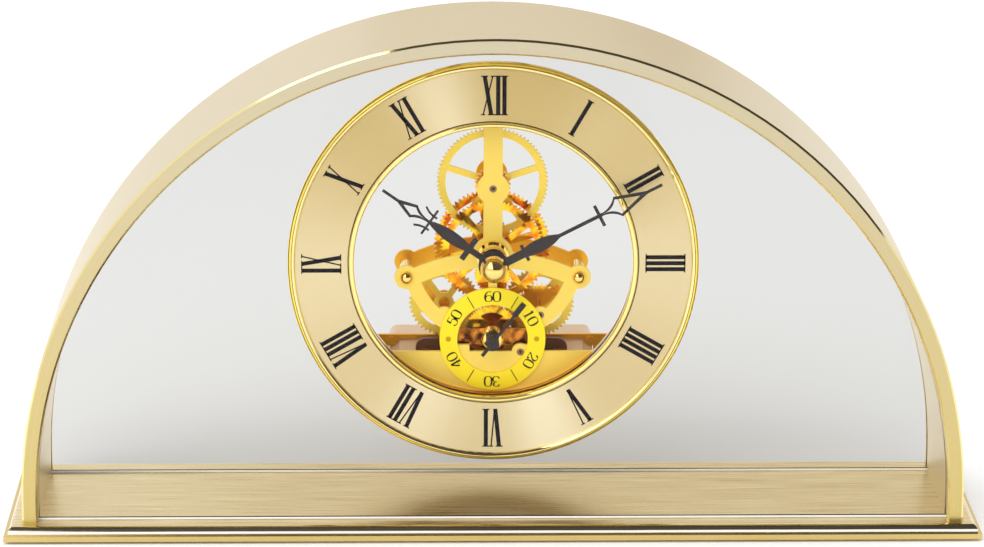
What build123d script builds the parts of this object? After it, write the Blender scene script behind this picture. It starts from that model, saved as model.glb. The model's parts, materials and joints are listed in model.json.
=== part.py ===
from build123d import *
import os
from math import acos, atan2, cos, degrees, radians, sin, sqrt

os.makedirs("parts", exist_ok=True)

# Half-moon skeleton mantel clock, in millimetres.
# X runs to the right, Y to the back, Z up; the origin is under the middle of the base.
# Angles are seen from the front, anticlockwise from the right unless a name says clock.

# Base: felt pads, a sole plate and a plinth plate
pad_height = 0.8
pad_radius = 6.0
pad_inset = 12.0
sole_end_reach = 5.16
sole_side_reach = 5.0
sole_thickness = 1.6
plinth_setback = 1.2
plinth_thickness = 2.55
plinth_wall = 0.65

# Arch: a flat band bent over two short legs
arch_leg = 6.56
arch_wall = 4.73
arch_chamfer = 0.6
arch_screw_radius = 1.2
arch_screw_head = 2.3
arch_screw_head_height = 0.8
arch_screw_reach = 5.0
arch_screw_offset = 16.0

# Panes, seated in grooves of the arch and of the plinth
pane_thickness = 3.0
pane_inset = 3.6
pane_seat = 1.2
groove_gap = 0.1
nut_glass_gap = 1.25
access_drop = 6.5

# Fits
thread_gap = 0.02
running_gap = 0.05
seat_gap = 0.05

# Dial
dial_foot_gap = 13.65
dial_crown_gap = 6.02
dial_face = -9.0
bezel_wall = 1.6
bezel_lip = 0.6
bezel_nose = 0.8
chapter_thickness = 1.0
backing_thickness = 1.0
subdial_rim_gap = 0.55
rim_wall = 1.6
rim_groove = 0.3
rim_nose = 0.8
rim_depth = 9.0
rim_lip = 1.2
rim_cove = 0.7
rim_bead = 0.2
rim_bead_width = 0.6
rim_slope = 1.2
rim_step = 0.8
rim_flange = 1.4
rim_screw_angles = (90.0, 242.0, 298.0)
rim_screw_radius = 0.35
rim_screw_bite = 3.0
rim_screw_head = 0.7
rim_screw_head_height = 0.6

# Mounting ring on the rear pane, with posts that carry the dial
mount_box_gap = 1.309
mount_width = 8.0
mount_overhang = 3.5
mount_thickness = 2.0
clamp_thickness = 1.6
clamp_chamfer = 0.4
clamp_screw_count = 6
clamp_screw_radius = 0.9
clamp_screw_head = 1.7
clamp_screw_head_height = 1.1
post_radius = 1.75
post_high_lag = 3.44
post_low_lead = 4.45
post_bezel_gap = 0.9

# Movement plates and pillars
plate_thickness = 1.2
pillar_x = 25.8
pillar_z = -6.75
pillar_radius = 2.1
pillar_boss = 3.6
pillar_spigot = 1.2
pillar_end = 0.9
dome_nut_radius = 2.0
rear_nut_radius = 2.2
rear_nut_height = 1.6
arm_width = 4.9
arm_crown = -1.33
arm_toe = 0.95
leg_inner = 22.9
leg_outer = 27.3
hub_disc = 6.0
top_arm_width = 5.7
top_boss = 4.8
strut_width = 2.6
segment_top = -29.8
notch_half = 6.9
tab_half = 11.2
tab_height = 2.1
bush_radius = 1.1
bush_proud = 0.1
pivot_radius = 0.5
centre_bush_radius = 1.8
pivot_boss = 2.6
rear_strut_width = 6.0
rear_bar_height = 1.4
rear_ear_gap = 0.2
rear_ear_width = 6.5
rear_ear_drop = 7.5
rear_leg_width = 4.0
rear_leg_x = 15.0

# Wheels: a tooth has straight flanks, a flat tip and a V gullet, in shares of its module
tip_half_share = 0.2
addendum_share = 0.75
dedendum_share = 1.5
upper_module = 0.41
lower_module = 0.46
motor_module = 0.3
rotor_module = 0.25
centre_teeth, top_pinion_teeth = 75, 25
top_teeth, transfer_pinion_teeth = 80, 20
transfer_teeth, side_pinion_teeth = 75, 27
side_teeth, seconds_pinion_teeth = 45, 25
seconds_teeth, motor_pinion_teeth = 54, 9
motor_teeth, rotor_teeth = 40, 8
cannon_teeth, motion_teeth = 12, 36
motion_pinion_teeth, hour_teeth = 10, 40
motion_reach = 7.0
seconds_drop = 25.75
motor_bearing = -27.0
rotor_bearing = -50.0
wheel_thickness = 1.0
thin_wheel = 0.8
rim_width = 1.7
spoke_width = 1.9
wheel_hub = 3.0
pinion_over = 0.5
centre_spokes, centre_first_spoke = 4, 38.0
transfer_spokes, transfer_first_spoke = 4, 15.0
top_spokes, top_first_spoke = 5, 90.0
side_spokes, side_first_spoke = 5, 54.0
seconds_spokes, seconds_first_spoke = 4, 45.0

# Depth of the train, each gap in front of the layer that it names
hour_gap = 0.5
motion_gap = 0.5
centre_gap = 1.4
top_gap = 2.5
transfer_gap = 1.7
side_gap = 2.0
rear_plate_gap = 2.8
seconds_wheel_lead = 1.5
motor_wheel_lag = 1.2
stator_gap = 0.8

# Arbors
arbor_radius = 1.0
cannon_radius = 1.8
hour_pipe_radius = 2.5
transfer_pipe_radius = 2.2
collar_radius = 4.9
collar_height = 2.0
collar_neck = 4.3
collar_neck_height = 4.5
collar_spigot = 3.4
collar_chamfer = 0.5
collar_knurls = 30
knurl_depth = 0.25
stop_collar_radius = 2.0
stop_collar_width = 0.8
end_shake = 0.2
side_arbor_radius = 1.0
seconds_arbor_radius = 0.75
small_pivot = 0.35
stud_radius = 0.5
stud_head_radius = 1.0
stud_head_height = 0.4
left_stud_head = 1.7
left_stud_head_height = 0.6

# Seconds dial, bridge and bush
subdial_outer = 15.9
subdial_inner = 10.6
subdial_thickness = 0.8
under_ring_margin = 0.35
peg_circle = 13.25
peg_radius = 0.8
bridge_thickness = 1.2
bridge_stand_off = 1.0
bridge_half = 15.0
bridge_height = 5.0
bridge_boss = 1.6
seconds_bush_radius = 3.3
seconds_bush_spigot = 2.0
seconds_bush_front = 1.1
seconds_bush_chamfer = 0.55

# Hands, with clock angles clockwise from twelve
hand_thickness = 0.5
hour_hand_lead = 2.85
minute_hand_lead = 5.6
nut_radius = 4.05
nut_lead = 6.7
minute_clock_angle = 62.8
hour_clock_angle = 305.2
seconds_clock_angle = 37.5
bar_thickness = 0.95
strand_width = 0.8
strand_point = 0.1
spear_bow_along = 0.6
spear_bow_across = 0.25
minute_hub = 3.6
minute_length = 55.5
minute_stem_half = 1.25
minute_inner_bar = 10.3
minute_inner_bar_half = 2.6
minute_leaf_half = 1.95
minute_leaf_end = 21.6
minute_shaft_half = 0.5
minute_neck_run = 6.1
minute_outer_bar_half = 3.4
minute_head_run = 9.5
minute_shoulder_half = 3.25
minute_point = 5.0
hour_hub = 4.5
hour_length = 40.1
hour_stem_half = 0.9
hour_inner_bar = 8.95
hour_inner_bar_half = 3.8
hour_inner_bar_thickness = 1.6
hour_leaf_half = 1.8
hour_neck_run = 5.8
hour_outer_bar_half = 4.3
hour_outer_bar_thickness = 0.65
hour_head_run = 5.6
hour_shoulder_half = 2.2
hour_point = 5.5
prong_reach = 3.5
prong_root_half = 2.2
prong_tip_half = 3.35
prong_width = 0.55
seconds_length = 15.3
seconds_tail = 5.2
seconds_shaft_half = 0.42
seconds_paddle = 4.8
seconds_paddle_half = 0.85
seconds_tail_half = 0.5
seconds_hub = 1.92
seconds_hub_height = 5.6
seconds_hub_gap = 0.3
seconds_blade_lead = 2.0

# Setting knob
knob_radius = 5.0
knob_height = 7.0
knob_flutes = 30
knob_flute_depth = 0.45
knob_neck_radius = 3.0
knob_neck = 1.2
knob_socket = 3.5
knob_dimple_radius = 3.5
knob_dimple = 1.2

# Motor under the seconds dial
cage_thickness = 1.2
cage_half = 23.0
cage_top = -29.4
cage_bottom = -44.6
cage_post_x = 20.0
cage_post_z = -34.0
cage_post_radius = 1.8
cage_round = 3.0
cage_rest_radius = 1.45
cage_screw_radius = 0.7
cage_screw_head = 1.3
cage_screw_head_height = 0.8
cage_screw_bite = 0.8
stator_thickness = 0.8
stator_left = -18.0
stator_right = 16.4
stator_top = -32.8
stator_bar = 4.4
core_height = 2.0
core_z = -41.2
stator_bore = 1.9
rotor_radius = 1.5
rotor_length = 2.0
coil_half_length = 9.0
coil_x = -4.0
coil_radius = 2.6
coil_flange = 3.1
coil_flange_width = 0.8
core_gap = 0.15
board_length = 16.0
board_height = 5.4
board_thickness = 0.8
board_x = -5.6
board_z = -33.3
crystal_radius = 0.8
crystal_length = 6.0
crystal_x = -9.6

# Battery box behind the rear plate, open to the back
cell_radius = 7.25
cell_body = 49.2
cell_nub = 1.3
cell_nub_radius = 2.75
cell_round = 0.5
cell_sink = 3.8
cell_room = 0.25
box_wall = 0.7
box_side_reach = 3.05
box_end_wall = 1.0
box_top = -30.3
box_bottom = -48.2
box_bar_gap = 0.5
box_top_round = 2.6
box_bottom_round = 7.0
contact_thickness = 0.4
contact_half = 4.0
spring_rise = 2.6
spring_half = 2.5
lug_inset = 0.8
lug_drop = 1.9
lug_radius = 1.8
box_screw_radius = 0.7
box_screw_head = 1.3
box_screw_head_height = 0.7
box_screw_bite = 3.0

# Places that follow from the sizes above: cell, box, mounting, dial and then the case round them
bay_half = (cell_body + cell_nub + contact_thickness + contact_thickness + spring_rise) / 2
bulge_half = bay_half + box_end_wall
box_half = bulge_half + box_side_reach
lug_x = box_half - lug_inset
rear_ear_inner = box_half + rear_ear_gap
rear_bar_half = rear_ear_inner + rear_ear_width
box_corner_x = box_half - box_bottom_round
box_corner_z = box_bottom + box_bottom_round + access_drop
mount_z = -access_drop
mount_inner = box_bottom_round + sqrt(box_corner_x**2 + box_corner_z**2) + mount_box_gap
access_radius = mount_inner + mount_overhang
clamp_screw_circle = access_radius - clamp_screw_radius - 2 * seat_gap
post_circle = mount_inner + post_radius + seat_gap
upper_post_reach = post_circle - post_high_lag
lower_post_reach = post_circle + post_low_lead
bezel_bore = lower_post_reach + post_radius + post_bezel_gap
bezel_radius = bezel_bore + bezel_wall
rim_back_bore = seconds_drop + subdial_outer + subdial_rim_gap
rim_bore = rim_back_bore - rim_step
rim_radius = rim_bore + rim_wall
rim_flange_radius = rim_radius + rim_flange

nut_centre = dial_face - nut_lead
arch_depth = 2 * (pane_inset + pane_thickness + nut_glass_gap + nut_radius - nut_centre)
dial_rise = dial_foot_gap + bezel_radius
arch_radius = dial_rise + bezel_radius + dial_crown_gap + arch_wall - arch_leg
sole_length = 2 * (arch_radius + sole_end_reach)
sole_depth = arch_depth + 2 * sole_side_reach
sole_top = pad_height + sole_thickness
plinth_top = sole_top + plinth_thickness
spring_line = plinth_top + arch_leg
dial_z = plinth_top + dial_rise
arch_bore = arch_radius - arch_wall
pane_radius = arch_bore + pane_seat - groove_gap
front_pane_back = -arch_depth / 2 + pane_inset + pane_thickness
rear_pane_front = -front_pane_back
rear_pane_back = rear_pane_front + pane_thickness

chapter_back = dial_face + chapter_thickness
backing_back = chapter_back + backing_thickness
plate_front = dial_face + rim_depth
plate_back = plate_front + plate_thickness

hour_front = plate_back + hour_gap
motion_front = hour_front + thin_wheel + motion_gap
centre_front = motion_front + thin_wheel + centre_gap
top_front = centre_front + wheel_thickness + top_gap
transfer_front = top_front + wheel_thickness + transfer_gap
side_front = transfer_front + wheel_thickness + side_gap
rear_plate_front = side_front + wheel_thickness + rear_plate_gap
rear_plate_back = rear_plate_front + plate_thickness
seconds_front = top_front - seconds_wheel_lead
motor_front = motion_front + motor_wheel_lag
stator_front = seconds_front + wheel_thickness + stator_gap

top_z = (centre_teeth + top_pinion_teeth) * upper_module / 2
seconds_z = -seconds_drop
side_reach = (transfer_teeth + side_pinion_teeth) * lower_module / 2
side_to_seconds = (side_teeth + seconds_pinion_teeth) * lower_module / 2
side_z = (side_to_seconds**2 - side_reach**2 - seconds_drop**2) / (2 * seconds_drop)
side_x = sqrt(side_reach**2 - side_z**2)
motor_reach = (seconds_teeth + motor_pinion_teeth) * motor_module / 2
motor_x = motor_reach * cos(radians(motor_bearing))
motor_z = seconds_z + motor_reach * sin(radians(motor_bearing))
rotor_reach = (motor_teeth + rotor_teeth) * rotor_module / 2
rotor_x = motor_x + rotor_reach * cos(radians(rotor_bearing))
rotor_z = motor_z + rotor_reach * sin(radians(rotor_bearing))
cannon_module = 2 * motion_reach / (cannon_teeth + motion_teeth)
hour_module = 2 * motion_reach / (motion_pinion_teeth + hour_teeth)

subdial_front = plate_front - subdial_thickness
bridge_front = plate_back + bridge_stand_off
bridge_back = bridge_front + bridge_thickness
hour_hand_front = dial_face - hour_hand_lead
hour_hand_back = hour_hand_front + hand_thickness
minute_hand_front = dial_face - minute_hand_lead
minute_hand_back = minute_hand_front + hand_thickness
seconds_bush_nose = plate_front - seconds_bush_front
seconds_hub_back = seconds_bush_nose - seconds_hub_gap
seconds_hub_front = seconds_hub_back - seconds_hub_height
seconds_hand_front = seconds_hub_front + seconds_blade_lead

stator_back = stator_front + stator_thickness
stator_middle = (stator_front + stator_back) / 2
cage_front = stator_middle + coil_flange
cage_back = cage_front + cage_thickness
cell_bore = cell_radius + cell_room
bulge_radius = cell_bore + box_wall
bar_bottom = segment_top - rear_bar_height
cell_y = rear_plate_back + cell_sink
cell_z = bar_bottom - box_bar_gap - sqrt(bulge_radius**2 - cell_sink**2)
box_back = cell_y + cell_bore
minute_head_end = minute_length - minute_point
minute_shoulder = minute_head_end - minute_head_run
minute_outer_bar = minute_shoulder - minute_neck_run
hour_head_end = hour_length - hour_point
hour_shoulder = hour_head_end - hour_head_run
hour_outer_bar = hour_shoulder - hour_neck_run


def write(piece, name):
    """Label a finished piece and write its STEP file."""
    piece.part.label = name
    export_step(piece.part, f"parts/{name}.step")


def upright(y):
    """A plane that faces the front, with Z measured from the floor."""
    return Plane(origin=(0, y, 0), x_dir=(1, 0, 0), z_dir=(0, -1, 0))


def dial_plane(y):
    """A plane that faces the front, with its origin on the dial's axis."""
    return Plane(origin=(0, y, dial_z), x_dir=(1, 0, 0), z_dir=(0, -1, 0))


def rod(x, z, radius, front, back, mode=Mode.ADD):
    """A round rod or bore along Y, placed from the dial's axis."""
    with Locations((x, (front + back) / 2, dial_z + z)):
        Cylinder(radius, back - front, rotation=(90, 0, 0), mode=mode)


def half_moon(radius, foot):
    """The arch's outline at a radius: a half circle on straight legs."""
    with BuildSketch() as face:
        with BuildLine():
            Line((radius, foot), (radius, spring_line))
            ThreePointArc((radius, spring_line), (0, spring_line + radius), (-radius, spring_line))
            Line((-radius, spring_line), (-radius, foot))
            Line((-radius, foot), (radius, foot))
        make_face()
    return face.sketch


def ring(outer, inner, front, back, z=0.0):
    """A flat ring round the dial's axis."""
    rod(0, z, outer, front, back)
    rod(0, z, inner, front, back, Mode.SUBTRACT)


def polar_point(radius, angle):
    return (radius * cos(radians(angle)), radius * sin(radians(angle)))


def toothed(teeth, module, phase):
    """The outline of a wheel or pinion, with a tooth centred at the phase angle."""
    pitch_radius = teeth * module / 2
    tip = pitch_radius + addendum_share * module
    root = pitch_radius - dedendum_share * module
    half_tip = degrees(tip_half_share * module / tip)
    points = []
    for i in range(teeth):
        middle = phase + 360 * i / teeth
        points.append(polar_point(tip, middle - half_tip))
        points.append(polar_point(tip, middle + half_tip))
        points.append(polar_point(root, middle + 180 / teeth))
    Polygon(*points, align=None)


def spoked(teeth, module, phase, spokes, first_spoke, bore):
    """A toothed wheel with spokes between its hub and its rim."""
    rim_inner = (teeth / 2 - dedendum_share) * module - rim_width
    toothed(teeth, module, phase)
    Circle(rim_inner, mode=Mode.SUBTRACT)
    Circle(wheel_hub)
    with PolarLocations(0, spokes, start_angle=first_spoke):
        Rectangle(rim_inner + rim_width / 4, spoke_width, align=(Align.MIN, Align.CENTER))
    Circle(bore, mode=Mode.SUBTRACT)


def mesh_phase(teeth, phase, other_teeth, bearing):
    """The phase at which the other wheel, standing at that bearing, takes a tooth of this one in a gullet."""
    offset = (bearing - phase) * teeth / 360
    return bearing + 180 - (0.5 - offset) * 360 / other_teeth


def bearing_of(from_x, from_z, to_x, to_z):
    return degrees(atan2(to_z - from_z, to_x - from_x))


# Phases of the wheels that mesh
top_pinion_phase = mesh_phase(centre_teeth, 0, top_pinion_teeth, 90)
transfer_pinion_phase = mesh_phase(top_teeth, 0, transfer_pinion_teeth, -90)
side_pinion_phase = mesh_phase(transfer_teeth, 0, side_pinion_teeth, bearing_of(0, 0, side_x, side_z))
to_seconds = bearing_of(side_x, side_z, 0, seconds_z)
seconds_pinion_phase = mesh_phase(side_teeth, 0, seconds_pinion_teeth, to_seconds)
to_left = bearing_of(0, seconds_z, -side_x, side_z)
left_phase = mesh_phase(seconds_pinion_teeth, seconds_pinion_phase, side_teeth, to_left)
motor_pinion_phase = mesh_phase(seconds_teeth, 0, motor_pinion_teeth, motor_bearing)
rotor_phase = mesh_phase(motor_teeth, 0, rotor_teeth, rotor_bearing)
motion_phase = mesh_phase(cannon_teeth, 0, motion_teeth, -90)
hour_phase = mesh_phase(motion_pinion_teeth, 0, hour_teeth, 90)

# Felt pads
pad_x = sole_length / 2 - pad_inset
pad_y = sole_depth / 2 - pad_inset
with BuildPart() as foot_pads:
    with GridLocations(2 * pad_x, 2 * pad_y, 2, 2):
        Cylinder(pad_radius, pad_height, align=(Align.CENTER, Align.CENTER, Align.MIN))
write(foot_pads, "foot_pads")

# Sole plate
arch_screw_x = arch_radius - arch_wall / 2
with BuildPart() as sole_plate:
    with BuildSketch(Plane.XY.offset(pad_height)):
        Rectangle(sole_length, sole_depth)
    extrude(amount=sole_thickness)
    with BuildSketch(Plane.XY.offset(pad_height)):
        with GridLocations(2 * arch_screw_x, 2 * arch_screw_offset, 2, 2):
            Circle(arch_screw_head + seat_gap)
    extrude(amount=arch_screw_head_height, mode=Mode.SUBTRACT)
    with BuildSketch(Plane.XY.offset(pad_height)):
        with GridLocations(2 * arch_screw_x, 2 * arch_screw_offset, 2, 2):
            Circle(arch_screw_radius + seat_gap)
    extrude(amount=sole_thickness, mode=Mode.SUBTRACT)
write(sole_plate, "sole_plate")

# Plinth plate, with a groove for each pane
groove_width = pane_thickness + 2 * groove_gap
pane_middle = (rear_pane_front + rear_pane_back) / 2
with BuildPart() as plinth:
    with BuildSketch(Plane.XY.offset(sole_top)):
        Rectangle(sole_length - 2 * plinth_setback, sole_depth - 2 * plinth_setback)
    extrude(amount=plinth_thickness)
    fillet(plinth.edges().group_by(Axis.Z)[-1], plinth_thickness - plinth_wall)
    with BuildSketch(Plane.XY.offset(plinth_top - pane_seat)):
        with GridLocations(1, 2 * pane_middle, 1, 2):
            Rectangle(2 * (pane_radius + groove_gap), groove_width)
    extrude(amount=pane_seat, mode=Mode.SUBTRACT)
    with BuildSketch(Plane.XY.offset(sole_top)):
        with GridLocations(2 * arch_screw_x, 2 * arch_screw_offset, 2, 2):
            Circle(arch_screw_radius + seat_gap)
    extrude(amount=plinth_thickness, mode=Mode.SUBTRACT)
write(plinth, "plinth")

# Screws that pull the arch down on the base
with BuildPart() as arch_screws:
    with BuildSketch(Plane.XY.offset(pad_height)):
        with GridLocations(2 * arch_screw_x, 2 * arch_screw_offset, 2, 2):
            Circle(arch_screw_head)
    extrude(amount=arch_screw_head_height)
    with BuildSketch(Plane.XY.offset(pad_height)):
        with GridLocations(2 * arch_screw_x, 2 * arch_screw_offset, 2, 2):
            Circle(arch_screw_radius)
    extrude(amount=plinth_top + arch_screw_reach - pad_height)
write(arch_screws, "arch_screws")

# Arch
with BuildPart() as arch_frame:
    with BuildSketch(upright(arch_depth / 2)):
        add(half_moon(arch_radius, plinth_top))
        add(half_moon(arch_bore, plinth_top), mode=Mode.SUBTRACT)
    extrude(amount=arch_depth)
    for groove_back in (front_pane_back + groove_gap, rear_pane_back + groove_gap):
        with BuildSketch(upright(groove_back)):
            add(half_moon(arch_bore + pane_seat, plinth_top))
        extrude(amount=groove_width, mode=Mode.SUBTRACT)
    ends = arch_frame.edges().group_by(Axis.Y)
    rims = (ends[0] + ends[-1]).filter_by(lambda e: e.center().Z > plinth_top + arch_leg / 4)
    chamfer(rims, min(arch_chamfer, arch_wall / 4))
    with BuildSketch(Plane.XY.offset(plinth_top)):
        with GridLocations(2 * arch_screw_x, 2 * arch_screw_offset, 2, 2):
            Circle(arch_screw_radius + thread_gap)
    extrude(amount=arch_screw_reach + seat_gap, mode=Mode.SUBTRACT)
write(arch_frame, "arch_frame")

# Panes
with BuildPart() as front_pane:
    with BuildSketch(upright(front_pane_back)):
        add(half_moon(pane_radius, plinth_top - pane_seat))
    extrude(amount=pane_thickness)
write(front_pane, "front_pane")

with BuildPart() as rear_pane:
    with BuildSketch(upright(rear_pane_back)):
        add(half_moon(pane_radius, plinth_top - pane_seat))
        with Locations((0, dial_z + mount_z)):
            Circle(access_radius, mode=Mode.SUBTRACT)
    extrude(amount=pane_thickness)
write(rear_pane, "rear_pane")

# Rings that clamp the edge of the access hole
mount_outer = mount_inner + mount_width
mount_front = rear_pane_front - mount_thickness
clamp_back = rear_pane_back + clamp_thickness
with BuildPart() as mounting_ring:
    ring(mount_outer, mount_inner, mount_front, rear_pane_front, mount_z)
    with BuildSketch(dial_plane(rear_pane_front)):
        with Locations((0, mount_z)):
            with PolarLocations(clamp_screw_circle, clamp_screw_count):
                Circle(clamp_screw_radius + thread_gap)
    extrude(amount=mount_thickness, mode=Mode.SUBTRACT)
write(mounting_ring, "mounting_ring")

with BuildPart() as clamp_ring:
    ring(mount_outer, mount_inner, rear_pane_back, clamp_back, mount_z)
    chamfer(clamp_ring.faces().sort_by(Axis.Y)[-1].edges(), clamp_chamfer)
    with BuildSketch(dial_plane(clamp_back)):
        with Locations((0, mount_z)):
            with PolarLocations(clamp_screw_circle, clamp_screw_count):
                Circle(clamp_screw_radius + thread_gap)
    extrude(amount=clamp_thickness, mode=Mode.SUBTRACT)
write(clamp_ring, "clamp_ring")

with BuildPart() as clamp_screws:
    for i in range(clamp_screw_count):
        screw_x, screw_z = polar_point(clamp_screw_circle, 360 * i / clamp_screw_count)
        rod(screw_x, mount_z + screw_z, clamp_screw_radius, mount_front, clamp_back)
        rod(screw_x, mount_z + screw_z, clamp_screw_head, clamp_back, clamp_back + clamp_screw_head_height)
write(clamp_screws, "clamp_screws")

def post_places(reach):
    """The two places on the mounting ring, left and right, that stand at a reach from the dial's axis."""
    share = (post_circle**2 + access_drop**2 - reach**2) / (2 * post_circle * access_drop)
    lean = degrees(acos(share))
    return [polar_point(post_circle, 90 - lean), polar_point(post_circle, 90 + lean)]


with BuildPart() as dial_posts:
    for post_x, post_z in post_places(upper_post_reach) + post_places(lower_post_reach):
        rod(post_x, mount_z + post_z, post_radius, backing_back, mount_front)
write(dial_posts, "dial_posts")

# Dial: backing plate, chapter ring, polished bezel and polished inner rim
with BuildPart() as dial_backing:
    ring(bezel_bore - seat_gap, rim_radius + seat_gap, chapter_back, backing_back)
write(dial_backing, "dial_backing")

with BuildPart() as chapter_ring:
    ring(bezel_bore - seat_gap, rim_radius + rim_groove, dial_face, chapter_back)
write(chapter_ring, "chapter_ring")

dial_axis = Axis((0, 0, dial_z), (0, 1, 0))
with BuildPart() as outer_bezel:
    with BuildSketch(Plane.XY.offset(dial_z)):
        with BuildLine():
            lip = bezel_bore - bezel_lip
            Line((bezel_bore, backing_back), (bezel_radius, backing_back))
            Line((bezel_radius, backing_back), (bezel_radius, dial_face))
            ThreePointArc(
                (bezel_radius, dial_face),
                ((lip + bezel_radius) / 2, dial_face - bezel_nose),
                (lip, dial_face),
            )
            Line((lip, dial_face), (bezel_bore, dial_face))
            Line((bezel_bore, dial_face), (bezel_bore, backing_back))
        make_face()
    revolve(axis=dial_axis)
write(outer_bezel, "outer_bezel")

rim_screw_circle = (rim_back_bore + rim_flange_radius) / 2
rim_screw_tip = plate_front - rim_screw_bite
with BuildPart() as inner_rim:
    with BuildSketch(Plane.XY.offset(dial_z)):
        with BuildLine():
            lip_end = dial_face + rim_lip
            cove_end = lip_end + rim_slope
            bead_start = cove_end + rim_slope
            bead_end = bead_start + rim_bead_width
            Polyline(
                (rim_radius, backing_back),
                (rim_flange_radius, backing_back),
                (rim_flange_radius, plate_front),
                (rim_back_bore, plate_front),
                (rim_back_bore, bead_end + rim_bead_width),
                (rim_bore + rim_bead, bead_end),
                (rim_bore + rim_bead, bead_start),
                (rim_bore + rim_cove, cove_end),
                (rim_bore, lip_end),
                (rim_bore, dial_face),
            )
            ThreePointArc(
                (rim_bore, dial_face),
                ((rim_bore + rim_radius) / 2, dial_face - rim_nose),
                (rim_radius, dial_face),
            )
            Line((rim_radius, dial_face), (rim_radius, backing_back))
        make_face()
    revolve(axis=dial_axis)
    for angle in rim_screw_angles:
        hole_x, hole_z = polar_point(rim_screw_circle, angle)
        rod(hole_x, hole_z, rim_screw_radius + seat_gap, rim_screw_tip - seat_gap, plate_front, Mode.SUBTRACT)
write(inner_rim, "inner_rim")

with BuildPart() as rim_screws:
    for angle in rim_screw_angles:
        screw_x, screw_z = polar_point(rim_screw_circle, angle)
        rod(screw_x, screw_z, rim_screw_radius, rim_screw_tip, plate_back)
        rod(screw_x, screw_z, rim_screw_head, plate_back, plate_back + rim_screw_head_height)
write(rim_screws, "rim_screws")


def spider():
    """What both plates share: centre disc, curved arms to the pillars and curved legs below them."""
    arm_drop = arm_crown - (pillar_z - arm_toe)
    arm_radius = (pillar_x**2 + arm_drop**2) / (2 * arm_drop)
    with BuildSketch() as arms:
        with Locations((0, arm_crown - arm_radius)):
            Circle(arm_radius + arm_width / 2)
            Circle(arm_radius - arm_width / 2, mode=Mode.SUBTRACT)
        with Locations((0, arm_crown)):
            Rectangle(2 * pillar_x, 4 * arm_drop, mode=Mode.INTERSECT)
    with BuildSketch() as legs:
        Circle(leg_outer)
        Circle(leg_inner, mode=Mode.SUBTRACT)
        with Locations((0, pillar_z)):
            leg_height = pillar_z - seconds_z
            Rectangle(2 * leg_outer, leg_height, align=(Align.CENTER, Align.MAX), mode=Mode.INTERSECT)
    with BuildSketch() as plate:
        add(arms.sketch)
        add(legs.sketch)
        Circle(hub_disc)
        with Locations((-pillar_x, pillar_z), (pillar_x, pillar_z)):
            Circle(pillar_boss)
        with Locations((-side_x, side_z), (side_x, side_z)):
            Circle(pivot_boss)
    return plate.sketch


# Front plate
with BuildPart() as front_plate:
    with BuildSketch(dial_plane(plate_back)) as segment:
        Circle(rim_flange_radius)
        with Locations((0, segment_top)):
            Rectangle(2 * rim_radius, rim_radius, align=(Align.CENTER, Align.MAX), mode=Mode.INTERSECT)
        with Locations((-tab_half, segment_top), (notch_half, segment_top)):
            Rectangle(tab_half - notch_half, tab_height, align=(Align.MIN, Align.MIN))
        with Locations((motor_x, motor_z)):
            Circle(pivot_boss)
    extrude(amount=plate_thickness)
    with BuildSketch(dial_plane(plate_back)):
        Rectangle(top_arm_width, 2 * rim_radius, align=(Align.CENTER, Align.MIN))
        Circle(rim_flange_radius, mode=Mode.INTERSECT)
        with Locations((0, top_z)):
            Circle(top_boss)
    extrude(amount=plate_thickness)
    with BuildSketch(dial_plane(plate_back)):
        add(spider())
        Rectangle(strut_width, seconds_drop, align=(Align.CENTER, Align.MAX))
        with Locations((0, seconds_z)):
            Circle(subdial_outer - under_ring_margin)
            Circle(subdial_inner + under_ring_margin, mode=Mode.SUBTRACT)
    extrude(amount=plate_thickness)
    with BuildSketch(dial_plane(plate_back)):
        Circle(collar_spigot + seat_gap)
        with Locations((0, top_z), (side_x, side_z), (motor_x, motor_z)):
            Circle(bush_radius + thread_gap)
        with Locations((-pillar_x, pillar_z), (pillar_x, pillar_z)):
            Circle(pillar_spigot + thread_gap)
        with Locations((-peg_circle, seconds_z), (peg_circle, seconds_z)):
            Circle(peg_radius + thread_gap)
        with Locations(*[polar_point(rim_screw_circle, angle) for angle in rim_screw_angles]):
            Circle(rim_screw_radius + seat_gap)
    extrude(amount=plate_thickness, mode=Mode.SUBTRACT)
    with BuildSketch(dial_plane(plate_back)):
        with Locations((-cage_post_x, cage_post_z), (cage_post_x, cage_post_z)):
            Circle(cage_screw_radius + thread_gap)
        with Locations((0, -motion_reach)):
            Circle(stud_radius + thread_gap)
        with Locations((rotor_x, rotor_z)):
            Circle(small_pivot + running_gap)
    extrude(amount=cage_screw_bite + seat_gap, mode=Mode.SUBTRACT)
write(front_plate, "front_plate")

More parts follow.
